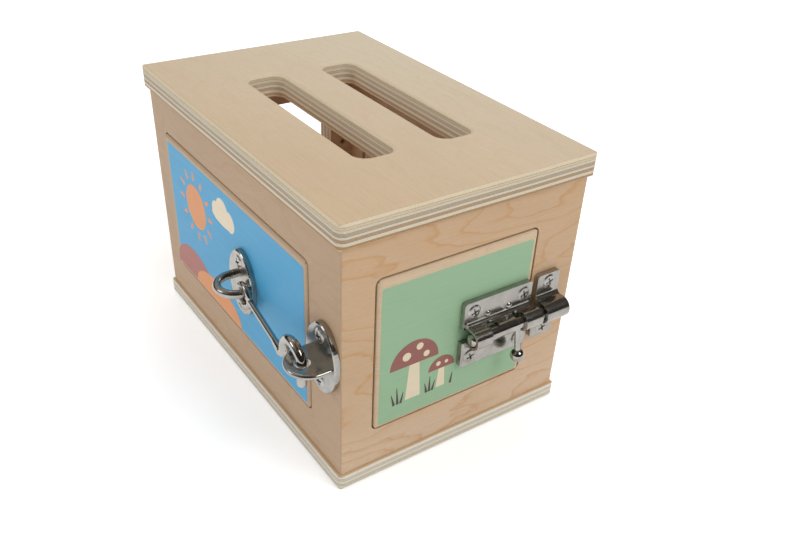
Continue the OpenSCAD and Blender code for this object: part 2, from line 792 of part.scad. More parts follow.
module bolt_plate() {
  slit_angle = -66;
  flange_angle = 150;
  plate_mid = (bolt_plate_u0 + bolt_plate_u1) / 2;
  dimple_v = lock_v + sleeve_r + sleeve_t + sheet_bend + dimple_r / 2;
  color(nickel) on_right() difference() {
    union() {
      swept(collar_u0, strap_u1)
        arch_shape(sleeve_r + sleeve_t, bolt_w, bolt_face - sleeve_t / 2, sleeve_slope);
      swept(collar_u0, bolt_plate_u1 - bolt_plate_rim) bend_feet(sleeve_r, bolt_face, sleeve_slope);
      translate([plate_mid, lock_v, door_face])
        linear_extrude(bolt_plate_t) round_rect(bolt_plate_u1 - bolt_plate_u0, bolt_plate_h, plate_r);
      for (u = [collar_u1 + notch_l / 2, strap_u0 - notch_l])
        translate([u, dimple_v, bolt_face - dimple_r / 2]) sphere(dimple_r);
    }
    swept(bolt_plate_u0 - over, strap_u1 + over)
      arch_shape(sleeve_r, bolt_w, door_face - over, sleeve_slope);
    plate_holes(bolt_spots, bolt_face, bolt_plate_t);
    // Between its two closed ends the sleeve is open from near its top down to the flange
    difference() {
      union() {
        swept(collar_u1, strap_u0) fan(slit_angle, flange_angle);
        for (u = [collar_u1, strap_u0 - notch_l]) notch_cut(u);
      }
      translate([collar_u0, lock_v - 2 * bolt_plate_h, door_face - bolt_plate_h])
        cube([strap_u1 - collar_u0, 4 * bolt_plate_h, bolt_plate_h + bolt_plate_t]);
    }
  }
}

module bolt_plate_screws() { color(nickel) on_right() screws(bolt_spots, bolt_face); }

module bolt_rod() {
  chamfer = 0.8;
  dome_r = 3 * bolt_r / 4;
  rod_l = bolt_tip_u - bolt_tail_u;
  j0 = knob_u - bolt_tail_u - journal_l / 2;
  j1 = j0 + journal_l;
  color(nickel) on_right() along(bolt_tail_u, lock_v, bolt_w)
    rotate_extrude() difference() {
      polygon([[0, 0], [bolt_r, 0], [bolt_r, j0], [journal_r, j0], [journal_r, j1], [bolt_r, j1],
               [bolt_r, rod_l - chamfer], [bolt_r - chamfer, rod_l], [0, rod_l]]);
      translate([bolt_r - dome_r, dome_r]) corner_waste(1, -1, dome_r);
    }
}

module bolt_knob() {
  stem_start = journal_r + 2 * journal_clear + 0.2;
  color(nickel) on_right() translate([knob_u, lock_v, bolt_w]) {
    along(-ring_l / 2, 0, 0) difference() {
      cylinder(r = ring_r, h = ring_l);
      translate([0, 0, -over]) cylinder(r = journal_r + journal_clear, h = ring_l + 2 * over);
    }
    rotate([90 - knob_lean, 0, 0]) {
      translate([0, 0, stem_start]) cylinder(d = stem_d, h = knob_reach - stem_start);
      translate([0, 0, knob_reach]) sphere(d = ball_d);
    }
  }
}

module bolt_keep() {
  color(nickel) on_right() difference() {
    intersection() {
      swept(keep_u0, keep_u1) {
        translate([-keep_h / 2, 0]) square([keep_h, bolt_plate_t]);
        arch_shape(keep_r + sleeve_t, bolt_w, bolt_plate_t - sleeve_t / 2, 0);
        bend_feet(keep_r, bolt_plate_t, 0);
      }
      translate([(keep_u0 + keep_u1) / 2, lock_v, -over])
        linear_extrude(bolt_w + bolt_d + over) round_rect(keep_l, keep_h, plate_r);
    }
    swept(keep_u0 - over, keep_u1 + over) arch_shape(keep_r, bolt_w, -over, 0);
    plate_holes(bolt_keep_spots, bolt_plate_t, bolt_plate_t);
  }
}

module bolt_keep_screws() { color(nickel) on_right() screws(bolt_keep_spots, bolt_plate_t); }

// Left door and its slide latch

// Strap bridging the flat bar, standing on a face at height low
module bar_bridge(u0, l, low) {
  inner = bar_w + 2 * bar_clear;
  top = bar_high + bar_clear;
  translate([u0, lock_v, low]) difference() {
    translate([0, -inner / 2 - plate_t, 0]) cube([l, inner + 2 * plate_t, top + plate_t - low]);
    translate([-over, -inner / 2, -over]) cube([l + 2 * over, inner, top - low + over]);
  }
}

module left_door() { color(yellow_print) on_left_door() door_panel(body_w, latch_spots); }

module latch_plate() {
  color(nickel) on_left_door() {
    difference() {
      translate([(latch_plate_u0 + latch_plate_u1) / 2, lock_v, door_face])
        linear_extrude(plate_t) round_rect(latch_plate_l, latch_plate_h, plate_r);
      plate_holes(latch_spots, door_plate_face, plate_t);
    }
    for (u = [latch_plate_u0, latch_plate_u1 - bridge_l])
      bar_bridge(u, bridge_l, door_face + plate_t / 2);
  }
}

module latch_plate_screws() { color(nickel) on_left_door() screws(latch_spots, door_plate_face); }

module latch_bar() {
  tip_r = bar_w / 2;
  bar_l = latch_plate_l;
  neck_r = push_d / 4;
  color(nickel) on_left_door() translate([latch_plate_u0, lock_v, bar_low]) {
    linear_extrude(bar_t) {
      translate([-bar_tail, -tip_r]) square([bar_tail + bar_l - tip_r, bar_w]);
      translate([bar_l - tip_r, 0]) circle(tip_r);
    }
    translate([push_u - latch_plate_u0, 0, bar_t / 2])
      rotate_extrude()
        polygon([[0, 0], [neck_r, 0], [neck_r, bar_t / 2 + push_h / 2],
                 [push_d / 2, bar_t / 2 + push_h * 0.7], [push_d / 2, bar_t / 2 + push_h * 0.9],
                 [push_d / 2 - push_h * 0.1, bar_t / 2 + push_h], [0, bar_t / 2 + push_h]]);
  }
}

module latch_keep() {
  color(nickel) on_left() {
    difference() {
      translate([(latch_keep_u0 + latch_keep_u1) / 2, lock_v, 0])
        linear_extrude(plate_t) round_rect(latch_keep_l, latch_plate_h, plate_r);
      plate_holes(latch_keep_spots, plate_t, plate_t);
      translate([latch_keep_u0 - over, lock_v - bar_w / 2 - bar_clear, -over])
        cube([latch_keep_l + 2 * over, bar_w + 2 * bar_clear, plate_t + 2 * over]);
    }
    bar_bridge(latch_keep_u0, latch_keep_l, 0);
  }
}

module latch_keep_screws() { color(nickel) on_left() screws(latch_keep_spots, plate_t); }

// Back door, its hasp and the turning staple

module back_door() { color(red_print) on_back() door_panel(body_l, leaf_spots); }

module hasp_leaf() {
  inner_v = knuckle_l / 2 + hasp_clear;
  outer_l = flap_h / 2 - inner_v;
  color(nickel) on_back() {
    difference() {
      translate([(leaf_u0 + leaf_u1) / 2, lock_v, door_face])
        linear_extrude(plate_t) round_rect(leaf_l, leaf_h, plate_r);
      plate_holes(leaf_spots, door_plate_face, plate_t);
    }
    for (v = [-flap_h / 2, inner_v]) difference() {
      union() {
        upright(hasp_axis_u, lock_v + v, hasp_axis_w, knuckle_r, outer_l);
        translate([leaf_u1 - plate_r, lock_v + v, door_face])
          cube([hasp_axis_u - leaf_u1 + plate_r, outer_l, plate_t]);
      }
      upright(hasp_axis_u, lock_v + v - over, hasp_axis_w,
              hasp_pin_d / 2 + pivot_clear, outer_l + 2 * over);
    }
  }
}

module hasp_leaf_screws() { color(nickel) on_back() screws(leaf_spots, door_plate_face); }

module hasp_pin() {
  color(nickel) on_back() upright(hasp_axis_u, lock_v - flap_h / 2, hasp_axis_w, hasp_pin_d / 2, flap_h);
}

module hasp_flap() {
  flap_u0 = hasp_axis_u + knuckle_r + hasp_clear;
  flap_l = flap_u1 - flap_u0;
  color(nickel) on_back() {
    difference() {
      union() {
        translate([(flap_u0 + flap_u1) / 2, lock_v, flap_low])
          linear_extrude(plate_t) round_rect(flap_l, flap_h, 2 * plate_r);
        translate([hasp_axis_u, lock_v - knuckle_l / 2, flap_low])
          cube([flap_u0 - hasp_axis_u + 2 * plate_r, knuckle_l, plate_t]);
        upright(hasp_axis_u, lock_v - knuckle_l / 2, hasp_axis_w, knuckle_r, knuckle_l);
      }
      upright(hasp_axis_u, lock_v - knuckle_l, hasp_axis_w, hasp_pin_d / 2 + pivot_clear, 2 * knuckle_l);
      translate([staple_u + (slot_far - slot_near) / 2, lock_v, flap_low - over])
        linear_extrude(plate_t + 2 * over) round_rect(slot_near + slot_far, flap_slot_h, plate_r);
    }
  }
}

module staple_plate() {
  color(nickel) on_back() difference() {
    translate([staple_u, lock_v, 0])
      linear_extrude(plate_t) round_rect(staple_plate_w, staple_plate_h, 2 * plate_r);
    plate_holes(staple_spots, plate_t, plate_t);
    translate([staple_u, lock_v, -over]) cylinder(d = neck_d + 2 * pivot_clear, h = plate_t + 2 * over);
  }
}

module staple_plate_screws() { color(nickel) on_back() screws(staple_spots, plate_t); }

// Flat eye on a round neck, in line with the flap's slot
module staple() {
  eye_mid = neck_top + staple_h - staple_w / 2;
  color(nickel) on_back() {
    translate([staple_u, lock_v, -stud_l]) cylinder(d = neck_d, h = stud_l + neck_top + over);
    difference() {
      translate([staple_u - staple_t / 2, lock_v, 0]) rotate([90, 0, 90]) linear_extrude(staple_t)
        difference() {
          union() {
            translate([-staple_w / 2, neck_top]) square([staple_w, eye_mid - neck_top]);
            translate([0, eye_mid]) circle(staple_w / 2);
          }
          translate([-staple_w, neck_top - staple_w]) square([2 * staple_w, staple_w]);
        }
      translate([staple_u - staple_t, lock_v, eye_mid]) rotate([0, 90, 0])
        cylinder(d = staple_hole_d, h = 2 * staple_t);
    }
  }
}

base();
lid();
front_wall();
right_wall();
back_wall();
left_wall();
lid_dowels();
base_dowels();
front_pivot_pins();
right_pivot_pins();
back_pivot_pins();
left_pivot_pins();
front_door();
hook_rose();
hook_rose_screws();
hook();
hook_keep();
hook_keep_screws();
right_door();
bolt_plate();
bolt_plate_screws();
bolt_rod();
bolt_knob();
bolt_keep();
bolt_keep_screws();
left_door();
latch_plate();
latch_plate_screws();
latch_bar();
latch_keep();
latch_keep_screws();
back_door();
hasp_leaf();
hasp_leaf_screws();
hasp_pin();
hasp_flap();
staple_plate();
staple_plate_screws();
staple();
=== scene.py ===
# %% [markdown]
# # Dressing a wooden lock box
# The solids of the box come packed as a fixed frame: boards, doors, pins and locks, each on its own moving
# body. Their shapes are finished, so this lesson leaves them alone. It gives each of them a material built
# from real sizes, prints the doors with simple pictures, and sets up a white studio with a camera.

# %% Load the frame
import math
import bpy
from mathutils import Matrix, Vector


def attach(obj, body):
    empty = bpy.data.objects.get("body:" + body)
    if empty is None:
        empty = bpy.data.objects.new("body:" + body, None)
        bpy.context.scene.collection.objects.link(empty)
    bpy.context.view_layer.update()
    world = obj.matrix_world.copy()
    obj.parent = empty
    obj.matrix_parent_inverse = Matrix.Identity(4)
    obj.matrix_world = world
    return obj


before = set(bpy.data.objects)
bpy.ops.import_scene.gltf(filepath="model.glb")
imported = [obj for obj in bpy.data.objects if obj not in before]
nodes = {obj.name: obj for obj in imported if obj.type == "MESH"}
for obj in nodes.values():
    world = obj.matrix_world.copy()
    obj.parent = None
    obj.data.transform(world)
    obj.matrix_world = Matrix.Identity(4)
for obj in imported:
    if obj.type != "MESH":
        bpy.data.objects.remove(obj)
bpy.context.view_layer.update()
MM = 0.001

# %% [markdown]
# ## Colours
# Colours are picked as sRGB hex codes, as in any paint program, and shader sockets want linear numbers. One
# function turns one into the other, so that a colour renders as it was picked.

# %% Colours
def linear(code, light=1.0):
    """sRGB hex code to a linear colour with alpha, made lighter or darker by a factor."""
    parts = [int(code[i:i + 2], 16) / 255 for i in (1, 3, 5)]
    parts = [c / 12.92 if c <= 0.04045 else ((c + 0.055) / 1.055) ** 2.4 for c in parts]
    return [min(1.0, c * light) for c in parts] + [1.0]


def grey(value):
    """A linear grey with alpha."""
    return [value, value, value, 1.0]


print("mid grey is", round(linear("#808080")[0], 3), "in linear numbers")

# %% [markdown]
# ## Nodes
# A material is a tree of nodes. One function adds a node, sets its properties and sockets, links what is a
# link, and hands back the output that the next node needs.

# %% Nodes
FACTOR, COLOUR_A, COLOUR_B, COLOUR = 0, 6, 7, 2    # a Mix node's sockets and its output for colours


def add(tree, kind, inputs=None, get=0, stops=(), **settings):
    """Adds a node and returns its output called get. Settings are its properties, inputs the values or
    links of its sockets, and stops the places and colours of a colour ramp."""
    made = tree.nodes.new("ShaderNode" + kind)
    for key, value in settings.items():
        setattr(made, key, value)
    for i, (place, colour) in enumerate(stops):
        bar = made.color_ramp.elements
        stop = bar[i] if i < len(bar) else bar.new(1.0)
        stop.position, stop.color = place, colour
    for key, value in (inputs or {}).items():
        if isinstance(value, bpy.types.NodeSocket):
            tree.links.new(value, made.inputs[key])
        else:
            made.inputs[key].default_value = value
    return made.outputs[get]


print("sockets of a colour mix:", FACTOR, COLOUR_A, COLOUR_B)

# %% [markdown]
# ## Start of a material
# Every material starts from the place on the object, in millimetres, so that its pattern has a real size and
# stays where it is when the piece moves. Wood and plate also have edges worn round. Those could be cut into
# the mesh, but a bevel in the shader rounds them in the light alone and leaves the solids as they are.

# %% Start of a material
def new_material(name):
    """New material: returns it, its tree, its shader and the surface's place in millimetres."""
    made = bpy.data.materials.new(name)
    made.use_nodes = True
    tree = made.node_tree
    shader = tree.nodes["Principled BSDF"]
    place = add(tree, "TexCoord", get="Object")
    in_mm = add(tree, "VectorMath", {0: place, "Scale": 1 / MM}, operation="SCALE")
    return made, tree, shader, in_mm


def worn_relief(tree, edge_mm, relief, strength, depth_mm):
    """Normal of a surface whose edges are worn round by edge_mm, with a fine relief on top."""
    edge = add(tree, "Bevel", {"Radius": edge_mm * MM}, samples=4)
    sockets = {"Height": relief, "Strength": strength, "Distance": depth_mm * MM, "Normal": edge}
    return add(tree, "Bump", sockets)


print("patterns are in millimetres of", MM, "m")

# %% [markdown]
# ## Plywood
# Every board of the box is plywood, a stack of veneers. Its face shows rotary-cut veneer: long contour lines
# that open into flames, fine fibres along the grain and short dark flecks. Its edges show the veneers
# themselves, pale where the grain runs along the edge and greyer where it is cut across. Faces and edges
# could be two materials, but then each rounded edge would need a seam. Both follow from how deep a point
# lies under the board's face, so one material covers faces, rounded edges and slots alike.

# %% Veneers of the boards
# Thickness in millimetres and colour of each veneer, from the face inwards; None is the face's own colour
LID_PLIES = [(0.4, None), (1.2, "#ddd0bb"), (1.2, "#d2c5ac"), (1.4, "#d3cabb"), (1.5, "#b0a490"),
             (1.2, "#d4cdbf"), (1.4, "#ae957a"), (1.6, "#d6cfc0"), (1.2, "#b0885a"), (0.9, "#d3c3a8")]
BASE_PLIES = [(0.4, None), (1.3, "#e6e1d7"), (1.5, "#d2cbbe"), (1.5, "#e4dfd4"), (1.4, "#cfc8ba"),
              (1.5, "#e0dbd0"), (0.9, "#d5cdc0")]
# The innermost veneer of the walls and doors is their inner face, painted very pale as painted light in the
# shaded inside of the box.
WALL_PLIES = [(1.1, None), (1.6, "#b39a7c"), (1.8, "#d6c4a8"), (1.8, "#a98f72"), (1.8, "#d3c1a5"),
              (1.6, "#b0977a"), (1.4, "#cdb898"), (0.9, "#f0d3bf")]
for plies in (LID_PLIES, BASE_PLIES, WALL_PLIES):
    print("veneers:", len(plies), "together", round(sum(thick for thick, _ in plies), 1), "mm")

# %% [markdown]
# ## The face's figure
# The contour lines are what a slow hilly noise gives when it is cut into even heights, as on a map: that is
# also how rotary cutting makes them. Fibres and flecks are noise stretched along the grain. An image of wood
# would do as well, but it would repeat on large boards and stretch on small ones.

# %% Figure of a face
FLAME_MM = (120.0, 42.0)    # length and width of a flame of the contour lines
RINGS = 12.0                # contour lines from the lowest to the highest place
FIBRE_MM = (28.0, 0.77)     # length and width of a bundle of fibres, coarse enough to show
FLECK_MM = (3.3, 0.38)      # length and width of a fleck


def figure_of(tree, board, seed):
    """Hills, contour lines, fibres and flecks of a face. Board is the place along the grain, across it and
    in depth, in millimetres."""
    # Contour lines, each with a soft inner and a hard outer side
    sockets = {0: board, 1: (1 / FLAME_MM[0], 1 / FLAME_MM[1], 0.0), 2: (0.0, 0.0, seed)}
    stretched = add(tree, "VectorMath", sockets, operation="MULTIPLY_ADD")
    hills = add(tree, "TexNoise", {"Vector": stretched, "Scale": 1.0, "Detail": 5.0, "Roughness": 0.42})
    rings = add(tree, "Math", {0: hills, 1: RINGS}, operation="MULTIPLY")
    rings = add(tree, "Math", {0: rings}, operation="FRACT")
    lines = add(tree, "ValToRGB", {0: rings}, stops=[
        (0.0, grey(0.35)), (0.05, grey(0.0)), (0.55, grey(0.05)), (0.84, grey(0.3)), (0.96, grey(1.0)),
        (1.0, grey(0.35))])

    sockets = {0: board, 1: (1 / FIBRE_MM[0], 1 / FIBRE_MM[1], 1 / FIBRE_MM[1])}
    stretched = add(tree, "VectorMath", sockets, operation="MULTIPLY")
    fibres = add(tree, "TexNoise", {"Vector": stretched, "Scale": 1.0, "Detail": 4.0, "Roughness": 0.6})

    sockets = {0: board, 1: (1 / FLECK_MM[0], 1 / FLECK_MM[1], 0.0), 2: (0.0, 0.0, seed)}
    stretched = add(tree, "VectorMath", sockets, operation="MULTIPLY_ADD")
    flecks = add(tree, "TexNoise", {"Vector": stretched, "Scale": 1.0, "Detail": 1.0, "Roughness": 0.5})
    flecks = add(tree, "ValToRGB", {0: flecks}, stops=[(0.5, grey(0.0)), (0.85, grey(0.36))])
    return hills, lines, fibres, flecks


print("flames", FLAME_MM, "mm, fibres", FIBRE_MM, "mm, flecks", FLECK_MM, "mm")

# %% [markdown]
# ## The face's colour
# A face is a little darker on the hills than in the valleys, and on some boards a painted light also fades
# it slowly to a paler colour along a slope. The lines and flecks are laid over that in one darker colour.

# %% Colour of a face
HILL_SHADE = 0.95           # how much darker the hills are


def face_colour(tree, board, face, line, figure, painted_light, hills, lines, flecks):
    """Colour of a face. Figure is the strength of the contour lines, which have the colour line. The painted
    light is (slope along and across the grain per millimetre, colour): a paler colour that the face fades to
    along the slope as painted light, half of it at the origin."""
    tone = add(tree, "ValToRGB", {0: hills}, stops=[(0.3, linear(face)), (0.7, linear(face, HILL_SHADE))])
    # painted light: the face fades to a paler colour along a slope
    if painted_light:
        slope, code = painted_light
        share = add(tree, "VectorMath", {0: board, 1: (*slope, 0.0)}, "Value", operation="DOT_PRODUCT")
        share = add(tree, "Math", {0: share, 1: 0.5}, operation="ADD", use_clamp=True)
        sockets = {FACTOR: share, COLOUR_A: tone, COLOUR_B: linear(code)}
        tone = add(tree, "Mix", sockets, COLOUR, data_type="RGBA")
    shown = add(tree, "Math", {0: lines, 1: figure}, operation="MULTIPLY")
    for cover in (shown, flecks):
        sockets = {FACTOR: cover, COLOUR_A: tone, COLOUR_B: linear(line)}
        tone = add(tree, "Mix", sockets, COLOUR, data_type="RGBA")
    return tone


print("shade of the hills", HILL_SHADE)

# %% [markdown]
# ## The veneers on the edges
# On an edge the veneers show as stripes with thin glue lines between them. The stripes could be strips of
# faces, but the solids are finished, so a colour ramp in steps is read by depth instead. The veneers wave a
# little with the hills, and fine specks make them look sawn.

# %% Veneers by depth
GLUE_MM, GLUE = 0.13, "#957f60"
WAVE_MM = 0.5               # how far the veneers wave up and down
SPECK_MM, SPECKLE = 0.625, 0.35    # size of the specks, and how strongly they show
SPECK_DARK, SPECK_PALE = "#7d6a50", "#e6dcc8"


def veneers(tree, place, depth, hills, plies, face):
    """Colour of the veneers by depth, and a mask of where they show in place of the face."""
    total = sum(thick for thick, _ in plies)
    colours, inner, at = [], [], 0.0
    for thick, code in plies:
        colours.append((at / total, linear(code or face)))
        inner.append((at / total, grey(1.0 if code else 0.0)))
        at += thick
        if code and at < total - GLUE_MM:    # a glue line under each veneer but the first and the last
            colours.append(((at - GLUE_MM) / total, linear(GLUE)))
            inner.append(((at - GLUE_MM) / total, grey(1.0)))
    wave = add(tree, "Math", {0: hills, 1: WAVE_MM, 2: -WAVE_MM / 2}, operation="MULTIPLY_ADD")
    level = add(tree, "Math", {0: depth, 1: wave}, operation="ADD")
    level = add(tree, "Math", {0: level, 1: total}, operation="DIVIDE", use_clamp=True)
    edge = add(tree, "ValToRGB", {0: level}, stops=colours)
    is_edge = add(tree, "ValToRGB", {0: level}, stops=inner)
    for steps in (edge, is_edge):
        steps.node.color_ramp.interpolation = "CONSTANT"
    specks = add(tree, "TexNoise", {"Vector": place, "Scale": 1 / SPECK_MM, "Detail": 3.0, "Roughness": 0.7})
    specks = add(tree, "ValToRGB", {0: specks}, stops=[(0.3, linear(SPECK_DARK)), (0.7, linear(SPECK_PALE))])
    sockets = {FACTOR: SPECKLE, COLOUR_A: edge, COLOUR_B: specks}
    return add(tree, "Mix", sockets, COLOUR, data_type="RGBA", blend_type="OVERLAY"), is_edge


print("glue lines", GLUE_MM, "mm, waves", WAVE_MM, "mm")

# %% [markdown]
# ## Painted light in the slots, and the base's brown rim
# The veneers in the slots of the lid are painted paler than those of the rim, as painted light where the
# slots lie in shade, and the base's face is orange-brown where it stands out under the walls. Each could be
# a material of its own, but the place on the board tells them apart: a rectangle round the middle holds the
# slots, and another one holds the walls.

# %% Painted light in the slots, and the base's rim
# painted light: the depths between which the slots' veneers are painted paler
SLOT_LIGHT_DEPTHS_MM = (1.5, 4.0)   # the depths between which the paler tone sets in, under the rounded edge


def rim_tint_and_slot_light(tree, board, depth, tone, edge, patch):
    """Face and veneers, tinted outside a rectangle or lit by painted light within it. The last argument is
    (half length, half width, colour, strength, outside): the face is tinted outside this rectangle, or else
    the veneers are painted lighter within it, as painted light."""
    half_l, half_w, code, strength, outside = patch
    reach = add(tree, "VectorMath", {0: board}, operation="ABSOLUTE")
    reach = add(tree, "VectorMath", {0: reach, 1: (half_l, half_w, 0.0)}, operation="SUBTRACT")
    sockets = {0: add(tree, "SeparateXYZ", {0: reach}, "X"), 1: add(tree, "SeparateXYZ", {0: reach}, "Y")}
    reach = add(tree, "Math", sockets, operation="MAXIMUM")
    there = add(tree, "Math", {0: reach, 1: 0.0}, operation="GREATER_THAN" if outside else "LESS_THAN")
    there = add(tree, "Math", {0: there, 1: strength}, operation="MULTIPLY")
    if outside:
        sockets = {FACTOR: there, COLOUR_A: tone, COLOUR_B: linear(code)}
        return add(tree, "Mix", sockets, COLOUR, data_type="RGBA"), edge
    # painted light: the slots' veneers are painted paler below the rounded edge, where they lie in shade
    shallow, deep = SLOT_LIGHT_DEPTHS_MM
    inside = add(tree, "MapRange", {"Value": depth, "From Min": shallow, "From Max": deep})
    there = add(tree, "Math", {0: there, 1: inside}, operation="MULTIPLY")
    sockets = {FACTOR: there, COLOUR_A: edge, COLOUR_B: linear(code)}
    return tone, add(tree, "Mix", sockets, COLOUR, data_type="RGBA", blend_type="ADD")


print("paler slots from", SLOT_LIGHT_DEPTHS_MM[0], "mm down")

# %% [markdown]
# ## The whole board
# Face and veneers meet in one material by their depth. Sanded wood under thin lacquer is half matt, about
# 0.5 in roughness. The fibres make it lighter and darker, glossier and duller in streaks, and stand out a
# little.

# %% Plywood material
STREAK = (0.94, 1.04)       # how the fibres darken and lighten the colour
MATT, SATIN = 0.62, 0.46    # roughness between the fibres and on them
ROUNDED_MM, FIBRE_BUMP, FIBRE_DEPTH_MM = 0.35, 0.25, 0.12


def plywood(name, face, line, figure, normal, face_at, grain, plies, seed, patch=None, painted_light=None):
    """Plywood whose face lies face_at millimetres out along normal, with its grain along grain. The other
    values are those of the functions above."""
    made, tree, shader, place = new_material(name)
    side = Vector(normal).cross(Vector(grain))
    height = add(tree, "VectorMath", {0: place, 1: normal}, "Value", operation="DOT_PRODUCT")
    depth = add(tree, "Math", {0: face_at, 1: height}, operation="SUBTRACT")
    along = add(tree, "VectorMath", {0: place, 1: grain}, "Value", operation="DOT_PRODUCT")
    across = add(tree, "VectorMath", {0: place, 1: side}, "Value", operation="DOT_PRODUCT")
    board = add(tree, "CombineXYZ", {"X": along, "Y": across, "Z": depth})
    hills, lines, fibres, flecks = figure_of(tree, board, seed)
    tone = face_colour(tree, board, face, line, figure, painted_light, hills, lines, flecks)
    edge, is_edge = veneers(tree, place, depth, hills, plies, face)
    # painted light in the slots' veneers, and the brown face of the base's rim
    if patch:
        tone, edge = rim_tint_and_slot_light(tree, board, depth, tone, edge, patch)

    sockets = {FACTOR: is_edge, COLOUR_A: tone, COLOUR_B: edge}
    colour = add(tree, "Mix", sockets, COLOUR, data_type="RGBA")
    streak = add(tree, "ValToRGB", {0: fibres}, stops=[(0.25, grey(STREAK[0])), (0.75, grey(STREAK[1]))])
    sockets = {FACTOR: 1.0, COLOUR_A: colour, COLOUR_B: streak}
    colour = add(tree, "Mix", sockets, COLOUR, data_type="RGBA", blend_type="MULTIPLY")
    gloss = add(tree, "ValToRGB", {0: fibres}, stops=[(0.2, grey(MATT)), (0.8, grey(SATIN))])
    relief = worn_relief(tree, ROUNDED_MM, fibres, FIBRE_BUMP, FIBRE_DEPTH_MM)
    tree.links.new(colour, shader.inputs["Base Color"])
    tree.links.new(gloss, shader.inputs["Roughness"])
    tree.links.new(relief, shader.inputs["Normal"])
    return made


print("plywood ready, roughness", SATIN, "to", MATT)

# %% [markdown]
# ## The boards
# Every board needs the place of its face and the directions of its face and grain. Those of the left door
# are turned, because it stands open.

# %% Places of the boards
UP, RIGHT, BACK = (0, 0, 1), (1, 0, 0), (0, 1, 0)
FRONT, LEFT = (0, -1, 0), (-1, 0, 0)
LID_TOP, BASE_TOP, FRONT_FACE, END_FACE = 142.5, 8.5, 66.25, 100.0    # how far out the faces lie, in mm
DOOR_RISE = 1.0                                                       # how far a door stands out of its wall
LONG_DOOR, SHORT_DOOR = FRONT_FACE + DOOR_RISE, END_FACE + DOOR_RISE
OPEN = math.radians(75)
LEFT_PIN = Vector((-96.5, -41.45, 0))
LEFT_OUT = (-math.cos(OPEN), -math.sin(OPEN), 0)
LEFT_ALONG = (-math.sin(OPEN), math.cos(OPEN), 0)
LEFT_FACE = LEFT_PIN.dot(Vector(LEFT_OUT)) + LEFT_PIN.x + SHORT_DOOR
print("the open left door's face lies", round(LEFT_FACE, 2), "mm out")

# %% [markdown]
# Lid and base are birch plywood with pale faces, and the lid's face is painted paler towards the far left,
# as painted light. The walls and doors are faced with beech, which is warmer and has more figure. The front
# and right walls are painted paler towards the foot, as painted light bounced from the floor.

# %% Boards
# painted light: the veneers within the slots are painted paler, where the slots lie in shade
SLOT_PAINTED_LIGHT = (62.0, 40.0, "#fff0dc", 0.22, False)    # paler veneers within the slots' rectangle
FOOT_BROWN = (99.8, 66.0, "#c2965c", 0.6, True)      # browned face outside the walls' rectangle
# painted light: the lid's face is painted paler towards the far left
LID_PAINTED_LIGHT = ((-0.0028, 0.005), "#d5c7ae")
# painted light: the front and right walls are painted paler towards the foot, as light bounced from the
# floor
FLOOR_BOUNCE_SLOPE = (0.0, -0.008)                           # only downwards, and gone at half height
WALL_PAINTED_LIGHT = {"front_wall": (FLOOR_BOUNCE_SLOPE, "#ceaf90"), "right_wall": (FLOOR_BOUNCE_SLOPE, "#e4ceb7")}
BIRCH, WARM = "#bf9b70", "#ba8759"                   # colours of the contour lines

boards = {
    "lid": plywood("Birch plywood lid", "#d0b695", BIRCH, 0.12, UP, LID_TOP, RIGHT, LID_PLIES, 1.0,
                   SLOT_PAINTED_LIGHT, LID_PAINTED_LIGHT),
    "base": plywood("Birch plywood base", "#d4c2a8", BIRCH, 0.10, UP, BASE_TOP, RIGHT, BASE_PLIES, 2.0,
                    FOOT_BROWN),
}
for seed, name, face, line, figure, normal, face_at, grain in (
        (3.0, "front_wall", "#c0a283", "#ac7e55", 0.20, FRONT, FRONT_FACE, RIGHT),
        (4.0, "right_wall", "#ccac89", "#c08646", 0.5, RIGHT, END_FACE, BACK),
        (5.0, "back_wall", "#d0b397", WARM, 0.20, BACK, FRONT_FACE, RIGHT),
        (6.0, "left_wall", "#d0b397", WARM, 0.20, LEFT, END_FACE, BACK),
        (7.0, "front_door", "#cbb092", WARM, 0.12, FRONT, LONG_DOOR, RIGHT),
        (8.0, "right_door", "#d6bd9e", "#be8a58", 0.12, RIGHT, SHORT_DOOR, BACK),
        (9.0, "back_door", "#d6be9c", WARM, 0.12, BACK, LONG_DOOR, RIGHT),
        (10.0, "left_door", "#d6be9c", WARM, 0.12, LEFT_OUT, LEFT_FACE, LEFT_ALONG)):
    title = "Beech-faced plywood " + name.replace("_", " ")
    boards[name] = plywood(title, face, line, figure, normal, face_at, grain, WALL_PLIES, seed,
                           painted_light=WALL_PAINTED_LIGHT.get(name))
print("materials of boards:", len(boards))

# %% [markdown]
# The solids come with a plain material. It is taken off and the new one put on, and the mesh stays as it is.

# %% Dress the boards
def dress(names, material):
    """Gives solids a material in place of the plain one."""
    for name in names:
        mesh = nodes[name].data
        mesh.materials.clear()
        mesh.materials.append(material)


for name, material in boards.items():
    dress([name], material)
print("boards dressed:", len(boards))

# %% [markdown]
# ## Dowels
# The dowels that hold lid and base are turned beech rods, with the grain along their length. Noise that is
# stretched upright gives the grain, and the end shows it as dots, as end grain does.

# %% Dowels
DOWEL_GRAIN = (1.4, 1.4, 0.05)    # fibres per millimetre: 0.7 mm wide and 20 mm long
DOWEL_DARK, DOWEL_PALE, DOWEL_ROUGHNESS = "#b58f66", "#d8b98f", 0.6


